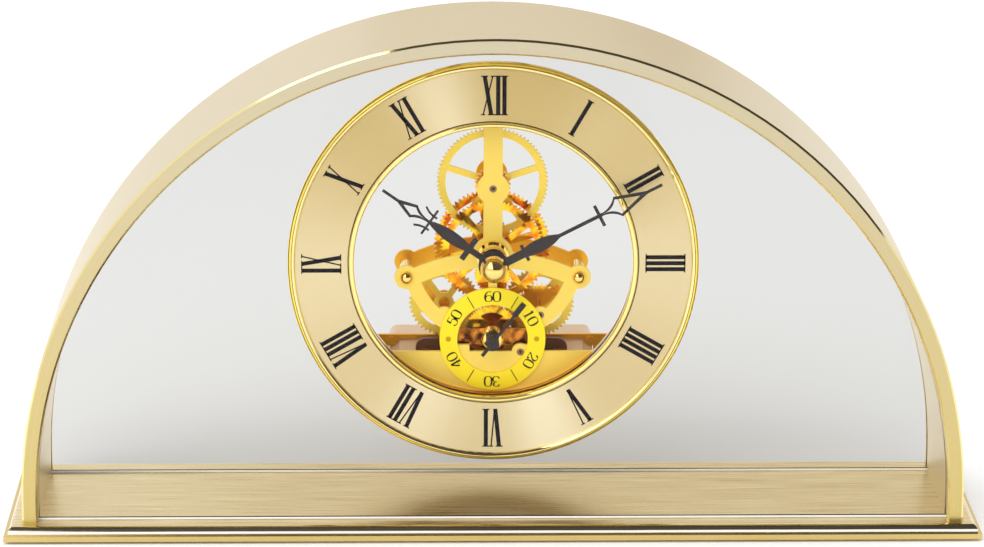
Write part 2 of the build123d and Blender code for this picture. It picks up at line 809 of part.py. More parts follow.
# Rear plate, ending below in a bar that carries the battery box
bar_middle = segment_top - rear_bar_height / 2
lug_z = segment_top - lug_drop
with BuildPart() as rear_plate:
    with BuildSketch(dial_plane(rear_plate_back)):
        add(spider())
        Rectangle(top_arm_width, top_z, align=(Align.CENTER, Align.MIN))
        with Locations((0, top_z)):
            Circle(top_boss)
        Rectangle(rear_strut_width, -bar_middle, align=(Align.CENTER, Align.MAX))
        with Locations((-rear_leg_x, bar_middle), (rear_leg_x, bar_middle)):
            Rectangle(rear_leg_width, side_z - bar_middle, align=(Align.CENTER, Align.MIN))
        with Locations((0, bar_middle)):
            Rectangle(2 * rear_bar_half, rear_bar_height)
        with Locations((-rear_bar_half, segment_top), (rear_ear_inner, segment_top)):
            Rectangle(rear_ear_width, rear_ear_drop, align=(Align.MIN, Align.MAX))
        with Locations((-lug_x, lug_z), (lug_x, lug_z)):
            Circle(lug_radius)
    extrude(amount=plate_thickness)
    with BuildSketch(dial_plane(rear_plate_back)):
        Circle(centre_bush_radius + thread_gap)
        with Locations((0, top_z), (side_x, side_z), (0, seconds_z)):
            Circle(bush_radius + thread_gap)
        with Locations((-side_x, side_z)):
            Circle(side_arbor_radius + thread_gap)
        with Locations((-pillar_x, pillar_z), (pillar_x, pillar_z)):
            Circle(pillar_spigot + thread_gap)
        with Locations((-lug_x, lug_z), (lug_x, lug_z)):
            Circle(box_screw_radius + seat_gap)
    extrude(amount=plate_thickness, mode=Mode.SUBTRACT)
write(rear_plate, "rear_plate")

# Pillars and their nuts
with BuildPart() as pillars:
    for x in (-pillar_x, pillar_x):
        rod(x, pillar_z, pillar_radius, plate_back, rear_plate_front)
        rod(x, pillar_z, pillar_spigot, plate_front, rear_plate_back)
        rod(x, pillar_z, pillar_end, plate_front - dome_nut_radius / 2, rear_plate_back + rear_nut_height)
write(pillars, "pillars")

with BuildPart() as pillar_nuts:
    for x in (-pillar_x, pillar_x):
        with Locations((x, plate_front, dial_z + pillar_z)):
            Sphere(dome_nut_radius)
        with BuildSketch(dial_plane(rear_plate_back + rear_nut_height)):
            with Locations((x, pillar_z)):
                RegularPolygon(rear_nut_radius, 6)
        extrude(amount=rear_nut_height)
        rod(x, pillar_z, 2 * dome_nut_radius, plate_front, rear_plate_back, Mode.SUBTRACT)
        rod(x, pillar_z, pillar_end + thread_gap, plate_front - dome_nut_radius / 2 - seat_gap,
            rear_plate_back + rear_nut_height, Mode.SUBTRACT)
write(pillar_nuts, "pillar_nuts")

# Bronze bushes that the pivots turn in
with BuildPart() as front_bushes:
    for x, z in ((0, top_z), (side_x, side_z), (motor_x, motor_z)):
        rod(x, z, bush_radius, plate_front, plate_back)
        rod(x, z, pivot_radius + running_gap, plate_front, plate_back, Mode.SUBTRACT)
write(front_bushes, "front_bushes")

with BuildPart() as rear_bushes:
    bush_back = rear_plate_back + bush_proud
    rod(0, 0, centre_bush_radius, rear_plate_front, bush_back)
    rod(0, 0, arbor_radius + running_gap, rear_plate_front, bush_back, Mode.SUBTRACT)
    for x, z in ((0, top_z), (side_x, side_z), (0, seconds_z)):
        rod(x, z, bush_radius, rear_plate_front, bush_back)
        rod(x, z, pivot_radius + running_gap, rear_plate_front, bush_back, Mode.SUBTRACT)
write(rear_bushes, "rear_bushes")

# Knurled collar that guides the hour pipe
collar_front = plate_front - collar_height
collar_tip = collar_front - collar_neck_height
with BuildPart() as centre_collar:
    with BuildSketch(dial_plane(plate_front)):
        knurl_points = []
        for i in range(collar_knurls):
            knurl_points.append(polar_point(collar_radius, 360 * i / collar_knurls))
            knurl_points.append(polar_point(collar_radius - knurl_depth, 360 * (i + 0.5) / collar_knurls))
        Polygon(*knurl_points, align=None)
    extrude(amount=collar_height)
    rod(0, 0, collar_neck, collar_tip, collar_front)
    chamfer(centre_collar.faces().sort_by(Axis.Y)[0].edges(), collar_chamfer)
    rod(0, 0, collar_spigot, plate_front, plate_back)
    rod(0, 0, hour_pipe_radius + running_gap, collar_tip, plate_back, Mode.SUBTRACT)
write(centre_collar, "centre_collar")

# Seconds dial on two pegs, and the bridge and bush behind it
with BuildPart() as subdial_ring:
    ring(subdial_outer, subdial_inner, subdial_front, plate_front, seconds_z)
    for x in (-peg_circle, peg_circle):
        rod(x, seconds_z, peg_radius + thread_gap, subdial_front, plate_front, Mode.SUBTRACT)
write(subdial_ring, "subdial_ring")

with BuildPart() as subdial_pegs:
    for x in (-peg_circle, peg_circle):
        rod(x, seconds_z, peg_radius, subdial_front, plate_back)
write(subdial_pegs, "subdial_pegs")

with BuildPart() as seconds_bridge:
    with BuildSketch(dial_plane(bridge_back)):
        with Locations((0, seconds_z)):
            SlotOverall(2 * bridge_half, bridge_height)
            Circle(seconds_bush_spigot + thread_gap, mode=Mode.SUBTRACT)
    extrude(amount=bridge_thickness)
    for x in (-peg_circle, peg_circle):
        rod(x, seconds_z, bridge_boss, plate_back, bridge_front)
write(seconds_bridge, "seconds_bridge")

with BuildPart() as seconds_bush:
    rod(0, seconds_z, seconds_bush_radius, seconds_bush_nose, bridge_front)
    rod(0, seconds_z, seconds_bush_spigot, bridge_front, bridge_back)
    chamfer(seconds_bush.faces().sort_by(Axis.Y)[0].edges(), seconds_bush_chamfer)
    rod(0, seconds_z, seconds_arbor_radius + running_gap, seconds_bush_nose, bridge_back, Mode.SUBTRACT)
write(seconds_bush, "seconds_bush")

# Centre arbor, with a stop collar behind the transfer wheel
transfer_pipe_front = top_front - pinion_over - stop_collar_width / 2
transfer_pipe_back = transfer_front + wheel_thickness + stop_collar_width
stop_front = transfer_pipe_back + end_shake
knob_front = rear_plate_back + knob_neck
knob_back = knob_front + knob_height
with BuildPart() as centre_arbor:
    rod(0, 0, arbor_radius, nut_centre, knob_front + knob_socket)
    rod(0, 0, stop_collar_radius, stop_front, stop_front + stop_collar_width)
write(centre_arbor, "centre_arbor")

cannon_front = motion_front - pinion_over / 2
cannon_back = motion_front + thin_wheel + pinion_over / 2
with BuildPart() as cannon_pinion:
    with BuildSketch(dial_plane(cannon_back)):
        toothed(cannon_teeth, cannon_module, 0)
    extrude(amount=cannon_back - cannon_front)
    rod(0, 0, cannon_radius, minute_hand_back, cannon_front)
    rod(0, 0, arbor_radius + thread_gap, minute_hand_back, cannon_back, Mode.SUBTRACT)
write(cannon_pinion, "cannon_pinion")

with BuildPart() as centre_wheel:
    with BuildSketch(dial_plane(centre_front + wheel_thickness)):
        spoked(centre_teeth, upper_module, 0, centre_spokes, centre_first_spoke, arbor_radius + thread_gap)
    extrude(amount=wheel_thickness)
    rod(0, 0, wheel_hub, cannon_back, centre_front)
    rod(0, 0, wheel_hub, centre_front + wheel_thickness, transfer_pipe_front - end_shake)
    rod(0, 0, arbor_radius + thread_gap, cannon_back, transfer_pipe_front, Mode.SUBTRACT)
write(centre_wheel, "centre_wheel")


def leaf(start, end, start_half, widest, end_half):
    """The swelling of a hand between two stations, symmetrical about its line."""
    belly = (start + end) / 2
    with BuildSketch() as face:
        with BuildLine():
            ThreePointArc((start_half, start), (widest, belly), (end_half, end))
            Line((end_half, end), (-end_half, end))
            ThreePointArc((-end_half, end), (-widest, belly), (-start_half, start))
            Line((-start_half, start), (start_half, start))
        make_face()
    return face.sketch


def spear(neck, shoulder, tip, neck_half, shoulder_half, tip_half):
    """A spear head that flares in two curves to its shoulders and runs straight to its tip."""
    bow = neck + spear_bow_along * (shoulder - neck)
    bow_half = neck_half + spear_bow_across * (shoulder_half - neck_half)
    with BuildSketch() as face:
        with BuildLine():
            ThreePointArc((neck_half, neck), (bow_half, bow), (shoulder_half, shoulder))
            Line((shoulder_half, shoulder), (tip_half, tip))
            Line((tip_half, tip), (-tip_half, tip))
            Line((-tip_half, tip), (-shoulder_half, shoulder))
            ThreePointArc((-shoulder_half, shoulder), (-bow_half, bow), (-neck_half, neck))
            Line((-neck_half, neck), (neck_half, neck))
        make_face()
    return face.sketch


def open_spear(neck, shoulder, tip, shoulder_half):
    """A spear head cut out to strands of even width."""
    rise = (shoulder - neck) * strand_width / shoulder_half
    fall = (tip - shoulder) * strand_width / shoulder_half
    with BuildSketch() as face:
        add(spear(neck, shoulder, tip, strand_width / 2, shoulder_half, strand_width / 2))
        inner_half = shoulder_half - strand_width
        opening = spear(neck + rise, shoulder, tip - fall, strand_point, inner_half, strand_point)
        add(opening, mode=Mode.SUBTRACT)
    return face.sketch


def cross_bar(station, half_length, thickness):
    with Locations((0, station)):
        Rectangle(2 * half_length, thickness)


def stem(start, end, half_width):
    with Locations((0, start)):
        Rectangle(2 * half_width, end - start, align=(Align.CENTER, Align.MIN))


def hand_plane(y, clock_angle, z=0.0):
    """A plane that faces the front, turned so that its up points along a hand."""
    turn = radians(clock_angle)
    return Plane(origin=(0, y, dial_z + z), x_dir=(cos(turn), 0, -sin(turn)), z_dir=(0, -1, 0))


# Minute hand
with BuildPart() as minute_hand:
    with BuildSketch(hand_plane(minute_hand_back, minute_clock_angle)):
        Circle(minute_hub)
        stem(0, minute_inner_bar, minute_stem_half)
        cross_bar(minute_inner_bar, minute_inner_bar_half, bar_thickness)
        add(leaf(minute_inner_bar, minute_leaf_end, minute_stem_half, minute_leaf_half, minute_shaft_half))
        stem(minute_leaf_end - bar_thickness, minute_outer_bar + bar_thickness, minute_shaft_half)
        cross_bar(minute_outer_bar, minute_outer_bar_half, bar_thickness)
        add(open_spear(minute_outer_bar, minute_shoulder, minute_head_end, minute_shoulder_half))
        stem(minute_head_end - bar_thickness, minute_length, strand_width / 2)
        Circle(arbor_radius + thread_gap, mode=Mode.SUBTRACT)
    extrude(amount=hand_thickness)
write(minute_hand, "minute_hand")

# Hour hand
with BuildPart() as hour_hand:
    with BuildSketch(hand_plane(hour_hand_back, hour_clock_angle)):
        Circle(hour_hub)
        stem(0, hour_inner_bar, hour_stem_half)
        cross_bar(hour_inner_bar, hour_inner_bar_half, hour_inner_bar_thickness)
        add(leaf(hour_inner_bar, hour_outer_bar, hour_stem_half, hour_leaf_half, strand_width / 2))
        cross_bar(hour_outer_bar, hour_outer_bar_half, hour_outer_bar_thickness)
        add(open_spear(hour_outer_bar, hour_shoulder, hour_head_end, hour_shoulder_half))
        stem(hour_head_end - bar_thickness, hour_length, strand_width / 2)
        for side in (-1, 1):
            with BuildLine() as prong_line:
                ThreePointArc(
                    (side * prong_root_half, hour_outer_bar - prong_reach / 3),
                    (side * (prong_root_half + prong_width / 2), hour_outer_bar + prong_reach / 2),
                    (side * prong_tip_half, hour_outer_bar + prong_reach),
                )
            trace(prong_line.line, prong_width)
        Circle(hour_pipe_radius + thread_gap, mode=Mode.SUBTRACT)
    extrude(amount=hand_thickness)
write(hour_hand, "hour_hand")

# Ball nut that holds the minute hand
with BuildPart() as hand_nut:
    with Locations((0, nut_centre, dial_z)):
        Sphere(nut_radius)
    rod(0, 0, nut_radius, minute_hand_front, minute_hand_front + 2 * nut_radius, Mode.SUBTRACT)
    rod(0, 0, arbor_radius + thread_gap, nut_centre, minute_hand_front, Mode.SUBTRACT)
write(hand_nut, "hand_nut")

# Knob behind the rear plate, for setting the hands
with BuildPart() as setting_knob:
    with BuildSketch(dial_plane(knob_back)):
        flute_points = []
        for i in range(knob_flutes):
            flute_points.append(polar_point(knob_radius, 360 * i / knob_flutes))
            flute_points.append(polar_point(knob_radius - knob_flute_depth, 360 * (i + 0.5) / knob_flutes))
        Polygon(*flute_points, align=None)
    extrude(amount=knob_height)
    rod(0, 0, knob_neck_radius, rear_plate_back + bush_proud + end_shake, knob_front)
    rod(0, 0, arbor_radius + thread_gap, rear_plate_back, knob_front + knob_socket, Mode.SUBTRACT)
    rod(0, 0, knob_dimple_radius, knob_back - knob_dimple, knob_back, Mode.SUBTRACT)
write(setting_knob, "setting_knob")

# Hour wheel with its pipe
with BuildPart() as hour_wheel:
    with BuildSketch(dial_plane(hour_front + thin_wheel)):
        toothed(hour_teeth, hour_module, hour_phase)
    extrude(amount=thin_wheel)
    rod(0, 0, hour_pipe_radius, hour_hand_front, hour_front)
    rod(0, 0, cannon_radius + running_gap, hour_hand_front, hour_front + thin_wheel, Mode.SUBTRACT)
write(hour_wheel, "hour_wheel")

# Motion wheel and its stud on the front plate
motion_pinion_front = hour_front - end_shake
with BuildPart() as motion_wheel:
    with BuildSketch(dial_plane(motion_front + thin_wheel)):
        with Locations((0, -motion_reach)):
            toothed(motion_teeth, cannon_module, motion_phase)
    extrude(amount=thin_wheel)
    with BuildSketch(dial_plane(motion_front)):
        with Locations((0, -motion_reach)):
            toothed(motion_pinion_teeth, hour_module, 0)
    extrude(amount=motion_front - motion_pinion_front)
    rod(0, -motion_reach, stud_radius + running_gap, motion_pinion_front, motion_front + thin_wheel,
        Mode.SUBTRACT)
write(motion_wheel, "motion_wheel")

with BuildPart() as motion_stud:
    stud_head = motion_front + thin_wheel + end_shake
    rod(0, -motion_reach, stud_radius, plate_back - cage_screw_bite, stud_head)
    rod(0, -motion_reach, stud_head_radius, stud_head, stud_head + stud_head_height)
write(motion_stud, "motion_stud")

# Transfer wheel, loose on the centre arbor, with the pinion that drives the top wheel
with BuildPart() as transfer_wheel:
    with BuildSketch(dial_plane(transfer_front + wheel_thickness)):
        spoked(transfer_teeth, lower_module, 0, transfer_spokes, transfer_first_spoke,
               arbor_radius + running_gap)
    extrude(amount=wheel_thickness)
    with BuildSketch(dial_plane(top_front + wheel_thickness + pinion_over)):
        toothed(transfer_pinion_teeth, upper_module, transfer_pinion_phase)
    extrude(amount=wheel_thickness + 2 * pinion_over)
    rod(0, 0, transfer_pipe_radius, transfer_pipe_front, transfer_pipe_back)
    rod(0, 0, arbor_radius + running_gap, transfer_pipe_front, transfer_pipe_back, Mode.SUBTRACT)
write(transfer_wheel, "transfer_wheel")

# Top wheel on its arbor
with BuildPart() as top_arbor:
    with BuildSketch(dial_plane(centre_front + wheel_thickness + pinion_over)):
        with Locations((0, top_z)):
            toothed(top_pinion_teeth, upper_module, top_pinion_phase)
    extrude(amount=wheel_thickness + 2 * pinion_over)
    rod(0, top_z, side_arbor_radius, plate_back + end_shake, rear_plate_front - end_shake)
    rod(0, top_z, pivot_radius, plate_front, rear_plate_back)
write(top_arbor, "top_arbor")

with BuildPart() as top_wheel:
    with BuildSketch(dial_plane(top_front + wheel_thickness)):
        with Locations((0, top_z)):
            spoked(top_teeth, upper_module, 0, top_spokes, top_first_spoke, side_arbor_radius + thread_gap)
    extrude(amount=wheel_thickness)
    rod(0, top_z, wheel_hub, centre_front + wheel_thickness + pinion_over, top_front)
    rod(0, top_z, side_arbor_radius + thread_gap, centre_front, top_front, Mode.SUBTRACT)
write(top_wheel, "top_wheel")

# Right wheel on its arbor, and the left wheel on a stud
with BuildPart() as right_arbor:
    with BuildSketch(dial_plane(transfer_front + wheel_thickness + pinion_over)):
        with Locations((side_x, side_z)):
            toothed(side_pinion_teeth, lower_module, side_pinion_phase)
    extrude(amount=wheel_thickness + 2 * pinion_over)
    rod(side_x, side_z, side_arbor_radius, plate_back + end_shake, rear_plate_front - end_shake)
    rod(side_x, side_z, pivot_radius, plate_front, rear_plate_back)
write(right_arbor, "right_arbor")

with BuildPart() as right_wheel:
    with BuildSketch(dial_plane(side_front + wheel_thickness)):
        with Locations((side_x, side_z)):
            spoked(side_teeth, lower_module, 0, side_spokes, side_first_spoke, side_arbor_radius + thread_gap)
    extrude(amount=wheel_thickness)
write(right_wheel, "right_wheel")

with BuildPart() as left_wheel:
    with BuildSketch(dial_plane(side_front + wheel_thickness)):
        with Locations((-side_x, side_z)):
            spoked(side_teeth, lower_module, left_phase, side_spokes, 180 - side_first_spoke,
                   side_arbor_radius + running_gap)
    extrude(amount=wheel_thickness)
write(left_wheel, "left_wheel")

with BuildPart() as left_stud:
    stud_tip = side_front - end_shake
    rod(-side_x, side_z, side_arbor_radius, stud_tip, rear_plate_back)
    rod(-side_x, side_z, left_stud_head, stud_tip - left_stud_head_height, stud_tip)
    rod(-side_x, side_z, left_stud_head, side_front + wheel_thickness + end_shake, rear_plate_front)
write(left_stud, "left_stud")

# Seconds arbor, wheel and hand
with BuildPart() as seconds_arbor:
    with BuildSketch(dial_plane(side_front + wheel_thickness + pinion_over)):
        with Locations((0, seconds_z)):
            toothed(seconds_pinion_teeth, lower_module, seconds_pinion_phase)
    extrude(amount=wheel_thickness + 2 * pinion_over)
    rod(0, seconds_z, seconds_arbor_radius, seconds_hand_front, bridge_back + end_shake)
    rod(0, seconds_z, side_arbor_radius, bridge_back + end_shake, rear_plate_front - end_shake)
    rod(0, seconds_z, pivot_radius, rear_plate_front - end_shake, rear_plate_back)
write(seconds_arbor, "seconds_arbor")

with BuildPart() as seconds_wheel:
    with BuildSketch(dial_plane(seconds_front + wheel_thickness)):
        with Locations((0, seconds_z)):
            spoked(seconds_teeth, motor_module, 0, seconds_spokes, seconds_first_spoke,
                   side_arbor_radius + thread_gap)
    extrude(amount=wheel_thickness)
write(seconds_wheel, "seconds_wheel")

with BuildPart() as seconds_hand:
    with BuildSketch(hand_plane(seconds_hand_front + hand_thickness, seconds_clock_angle, seconds_z)):
        stem(0, seconds_length, seconds_shaft_half)
        stem(seconds_length - seconds_paddle, seconds_length, seconds_paddle_half)
        stem(-seconds_tail, 0, seconds_tail_half)
    extrude(amount=hand_thickness)
    rod(0, seconds_z, seconds_hub, seconds_hub_front, seconds_hub_back)
    rod(0, seconds_z, seconds_arbor_radius + thread_gap, seconds_hand_front, seconds_hub_back, Mode.SUBTRACT)
write(seconds_hand, "seconds_hand")

# Motor wheel and rotor
with BuildPart() as motor_wheel:
    with BuildSketch(dial_plane(motor_front + thin_wheel)):
        with Locations((motor_x, motor_z)):
            toothed(motor_teeth, rotor_module, 0)
    extrude(amount=thin_wheel)
    with BuildSketch(dial_plane(seconds_front + wheel_thickness + pinion_over)):
        with Locations((motor_x, motor_z)):
            toothed(motor_pinion_teeth, motor_module, motor_pinion_phase)
    extrude(amount=wheel_thickness + 2 * pinion_over)
    rod(motor_x, motor_z, pivot_radius, plate_front, cage_front + cage_thickness / 2)
write(motor_wheel, "motor_wheel")

with BuildPart() as motor_rotor:
    with BuildSketch(dial_plane(motor_front + thin_wheel + pinion_over)):
        with Locations((rotor_x, rotor_z)):
            toothed(rotor_teeth, rotor_module, rotor_phase)
    extrude(amount=thin_wheel + 2 * pinion_over)
    rod(rotor_x, rotor_z, small_pivot, plate_back - cage_screw_bite, cage_front + cage_thickness / 2)
    rod(rotor_x, rotor_z, rotor_radius, stator_middle - rotor_length / 2, stator_middle + rotor_length / 2)
write(motor_rotor, "motor_rotor")

# Moulded cage that holds the motor behind the front plate
with BuildPart() as motor_cage:
    with BuildSketch(dial_plane(cage_back)):
        with Locations((0, (cage_top + cage_bottom) / 2)):
            RectangleRounded(2 * cage_half, cage_top - cage_bottom, cage_round)
    extrude(amount=cage_thickness)
    for x in (-cage_post_x, cage_post_x):
        rod(x, cage_post_z, cage_post_radius, plate_back, cage_front)
        rod(x, cage_post_z, cage_screw_radius + seat_gap, plate_back, cage_back, Mode.SUBTRACT)
    for x in (stator_left + stator_bar / 2, stator_right - 2 * stator_bar):
        rod(x, stator_top - stator_bar / 2, cage_rest_radius, stator_back, cage_front)
    rod(motor_x, motor_z, pivot_radius + running_gap, cage_front, cage_back, Mode.SUBTRACT)
    rod(rotor_x, rotor_z, small_pivot + running_gap, cage_front, cage_back, Mode.SUBTRACT)
write(motor_cage, "motor_cage")

with BuildPart() as cage_screws:
    for x in (-cage_post_x, cage_post_x):
        rod(x, cage_post_z, cage_screw_radius, plate_back - cage_screw_bite, cage_back)
        rod(x, cage_post_z, cage_screw_head, cage_back, cage_back + cage_screw_head_height)
write(cage_screws, "cage_screws")

# Stator plate with the coil on its lower bar
with BuildPart() as motor_stator:
    stator_bottom = core_z - core_height / 2
    with BuildSketch(dial_plane(stator_back)):
        with Locations((stator_left, stator_bottom)):
            Rectangle(stator_right - stator_left, stator_top - stator_bottom, align=(Align.MIN, Align.MIN))
        with Locations((rotor_x, rotor_z)):
            Circle(stator_bore + stator_bar / 2)
        window_left = coil_x - coil_half_length - coil_flange_width
        window_right = coil_x + coil_half_length + coil_flange_width
        window_bottom = core_z + core_height / 2
        with Locations((window_left, window_bottom)):
            Rectangle(window_right - window_left, stator_top - stator_bar - window_bottom,
                      align=(Align.MIN, Align.MIN), mode=Mode.SUBTRACT)
        with Locations((rotor_x, rotor_z)):
            Circle(stator_bore, mode=Mode.SUBTRACT)
    extrude(amount=stator_thickness)
write(motor_stator, "motor_stator")

with BuildPart() as motor_coil:
    with Locations((coil_x, stator_middle, dial_z + core_z)):
        Cylinder(coil_radius, 2 * coil_half_length, rotation=(0, 90, 0))
        for side in (-1, 1):
            with Locations((side * (coil_half_length - coil_flange_width / 2), 0, 0)):
                Box(coil_flange_width, 2 * coil_flange, 2 * coil_flange)
        Box(4 * coil_half_length, stator_thickness + 2 * core_gap, core_height + 2 * core_gap,
            mode=Mode.SUBTRACT)
write(motor_coil, "motor_coil")

# Circuit board on the cage, with the quartz crystal
with BuildPart() as circuit_board:
    with BuildSketch(dial_plane(cage_front)):
        with Locations((board_x, board_z)):
            Rectangle(board_length, board_height)
    extrude(amount=board_thickness)
write(circuit_board, "circuit_board")

with BuildPart() as quartz_crystal:
    crystal_y = cage_front - board_thickness - crystal_radius
    with Locations((crystal_x, crystal_y, dial_z + board_z)):
        Cylinder(crystal_radius, crystal_length, rotation=(0, 90, 0))
write(quartz_crystal, "quartz_crystal")

# Battery box
box_screw_tip = rear_plate_back + box_screw_bite
with BuildPart() as battery_box:
    with BuildSketch(dial_plane(box_back)) as box_face:
        with Locations((0, box_top)):
            Rectangle(2 * box_half, box_top - box_bottom, align=(Align.CENTER, Align.MAX))
        fillet(box_face.vertices().group_by(Axis.Y)[-1], box_top_round)
        fillet(box_face.vertices().group_by(Axis.Y)[0], box_bottom_round)
    extrude(amount=box_back - rear_plate_back)
    with Locations((0, cell_y, dial_z + cell_z)):
        Cylinder(bulge_radius, 2 * bulge_half, rotation=(0, 90, 0))
        Cylinder(cell_bore, 2 * bay_half, rotation=(0, 90, 0), mode=Mode.SUBTRACT)
        Box(2 * bay_half, 2 * box_back, 2 * cell_bore, align=(Align.CENTER, Align.MIN, Align.CENTER),
            mode=Mode.SUBTRACT)
    for x in (-lug_x, lug_x):
        rod(x, lug_z, box_screw_radius + thread_gap, rear_plate_back, box_screw_tip + seat_gap, Mode.SUBTRACT)
write(battery_box, "battery_box")

with BuildPart() as box_screws:
    for x in (-lug_x, lug_x):
        rod(x, lug_z, box_screw_head, rear_plate_front - box_screw_head_height, rear_plate_front)
        rod(x, lug_z, box_screw_radius, rear_plate_front, box_screw_tip)
write(box_screws, "box_screws")

# Battery contacts: a plate at the right end and a bowed spring strip at the left end
with BuildPart() as battery_contacts:
    with Locations((bay_half, cell_y, dial_z + cell_z)):
        Box(contact_thickness, 2 * contact_half, 2 * spring_half,
            align=(Align.MAX, Align.CENTER, Align.CENTER))
    with BuildSketch(Plane.XY.offset(dial_z + cell_z - spring_half)):
        foot = contact_thickness - bay_half
        with Locations((-bay_half, cell_y)):
            Rectangle(contact_thickness, 2 * contact_half, align=(Align.MIN, Align.CENTER))
        with BuildLine():
            ThreePointArc((foot, cell_y - contact_half), (foot + spring_rise - seat_gap, cell_y),
                          (foot, cell_y + contact_half))
            Line((foot, cell_y + contact_half), (foot, cell_y + contact_half - contact_thickness))
            ThreePointArc((foot, cell_y + contact_half - contact_thickness),
                          (foot + spring_rise - contact_thickness - seat_gap, cell_y),
                          (foot, cell_y - contact_half + contact_thickness))
            Line((foot, cell_y - contact_half + contact_thickness), (foot, cell_y - contact_half))
        make_face()
    extrude(amount=2 * spring_half)
write(battery_contacts, "battery_contacts")

# Dry cell, drawn out to the back
with BuildPart() as battery_cell:
    cell_left = bay_half - contact_thickness - seat_gap - cell_nub - cell_body
    with Locations((cell_left, cell_y, dial_z + cell_z)):
        Cylinder(cell_radius, cell_body, rotation=(0, 90, 0), align=(Align.CENTER, Align.CENTER, Align.MIN))
        fillet(battery_cell.edges(), cell_round)
        Cylinder(cell_nub_radius, cell_body + cell_nub, rotation=(0, 90, 0),
                 align=(Align.CENTER, Align.CENTER, Align.MIN))
write(battery_cell, "battery_cell")
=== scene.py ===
"""Looks of a half-moon skeleton mantel clock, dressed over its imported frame. All lengths are in metres."""
import json
from math import hypot, pi, radians

import bpy
from mathutils import Matrix, Vector


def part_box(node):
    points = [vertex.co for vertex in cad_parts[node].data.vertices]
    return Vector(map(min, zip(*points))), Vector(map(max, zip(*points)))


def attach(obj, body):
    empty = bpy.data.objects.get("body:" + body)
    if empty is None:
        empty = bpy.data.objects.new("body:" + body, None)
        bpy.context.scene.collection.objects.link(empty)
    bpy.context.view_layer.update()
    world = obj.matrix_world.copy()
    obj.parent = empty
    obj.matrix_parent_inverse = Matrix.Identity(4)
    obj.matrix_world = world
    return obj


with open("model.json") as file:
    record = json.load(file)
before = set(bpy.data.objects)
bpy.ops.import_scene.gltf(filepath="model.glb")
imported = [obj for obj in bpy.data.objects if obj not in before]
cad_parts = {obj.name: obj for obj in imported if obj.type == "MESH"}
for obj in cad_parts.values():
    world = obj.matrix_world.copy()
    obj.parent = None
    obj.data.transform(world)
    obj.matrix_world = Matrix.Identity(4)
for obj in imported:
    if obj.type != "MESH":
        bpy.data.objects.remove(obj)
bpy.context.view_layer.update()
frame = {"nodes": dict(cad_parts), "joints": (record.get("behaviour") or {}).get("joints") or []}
bpy.context.scene.view_settings.view_transform = "Standard"

MM = 0.001

# Places read from the frame
joint_at = {joint["name"]: Vector(joint["pos_m"]) for joint in frame["joints"] if "pos_m" in joint}
dial_centre = joint_at["minute_spin"]
seconds_centre = joint_at["seconds_spin"]
dial_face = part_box("chapter_ring")[0].y
subdial_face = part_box("subdial_ring")[0].y
plinth_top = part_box("plinth")[1].z
arch_low, arch_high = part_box("arch_frame")
arch_centre = Vector((0, 0, arch_high.z - arch_high.x))

# Camera, found from the base's corners and the dial in the photo
CAMERA_PLACE = Vector((-27.6, -1152.1, 391.8)) * MM
CAMERA_YAW = radians(1.362)
CAMERA_PITCH = radians(15.42)
CAMERA_ROLL = radians(0.256)
CAMERA_LENS = 146.2
CAMERA_SENSOR = 36.0


def add_camera():
    data = bpy.data.cameras.new("photo_camera")
    data.lens = CAMERA_LENS
    data.sensor_width = CAMERA_SENSOR
    camera = bpy.data.objects.new("photo_camera", data)
    bpy.context.scene.collection.objects.link(camera)
    turn = Matrix.Rotation(-CAMERA_YAW, 4, "Z") @ Matrix.Rotation(pi / 2 - CAMERA_PITCH, 4, "X")
    camera.matrix_world = Matrix.Translation(CAMERA_PLACE) @ turn @ Matrix.Rotation(CAMERA_ROLL, 4, "Z")
    bpy.context.scene.camera = camera


def linear(code):
    """A linear colour from an sRGB hex value."""
    shares = [int(code[i:i + 2], 16) / 255 for i in (1, 3, 5)]
    return [s / 12.92 if s <= 0.04045 else ((s + 0.055) / 1.055) ** 2.4 for s in shares] + [1.0]


def add_node(tree, kind, inputs=None, **settings):
    """A shader node with its settings. An input that is given a socket, or a node for its first output in
    use, is linked to it, and is set otherwise."""
    node = tree.nodes.new(kind)
    for name, value in settings.items():
        setattr(node, name, value)
    for socket, value in (inputs or {}).items():
        if isinstance(value, bpy.types.Node):
            value = next(output for output in value.outputs if output.enabled)
        if isinstance(value, bpy.types.NodeSocket):
            tree.links.new(value, node.inputs[socket])
        else:
            node.inputs[socket].default_value = value
    return node


def new_material(name):
    material = bpy.data.materials.new(name)
    material.use_nodes = True
    material.node_tree.nodes.clear()
    return material, material.node_tree


def add_surface(tree, inputs):
    """End a material's tree in one surface."""
    shader = add_node(tree, "ShaderNodeBsdfPrincipled", inputs)
    add_node(tree, "ShaderNodeOutputMaterial", {"Surface": shader})


# Marks of the finishes. Brush and lathe marks are finer than a pixel, so they are drawn as coarse as they
# need to show
BRUSH_LENGTH = 30 * MM
BRUSH_PITCH = 0.45 * MM
TURN_LENGTH = 6 * MM
TURN_PITCH = 0.25 * MM
LACQUER_PATCH = 25 * MM
# Size of the patches of painted reflection and highlight on polished brass
PAINTED_GLINT_PATCH = 3 * MM
# Depth of a moulded grit, as a share of its size
GRIT_DEPTH = 0.05
# A wave texture turns this many radians in a unit, so the coil's bands come out about six wires wide: one wire
# is too fine to show
WIRE = 0.2 * MM
WAVE_RADIANS = 20
# Most of a noise lies between these, so marks that use their full range are drawn apart from here
NOISE_LOW = 0.36
NOISE_HIGH = 0.64


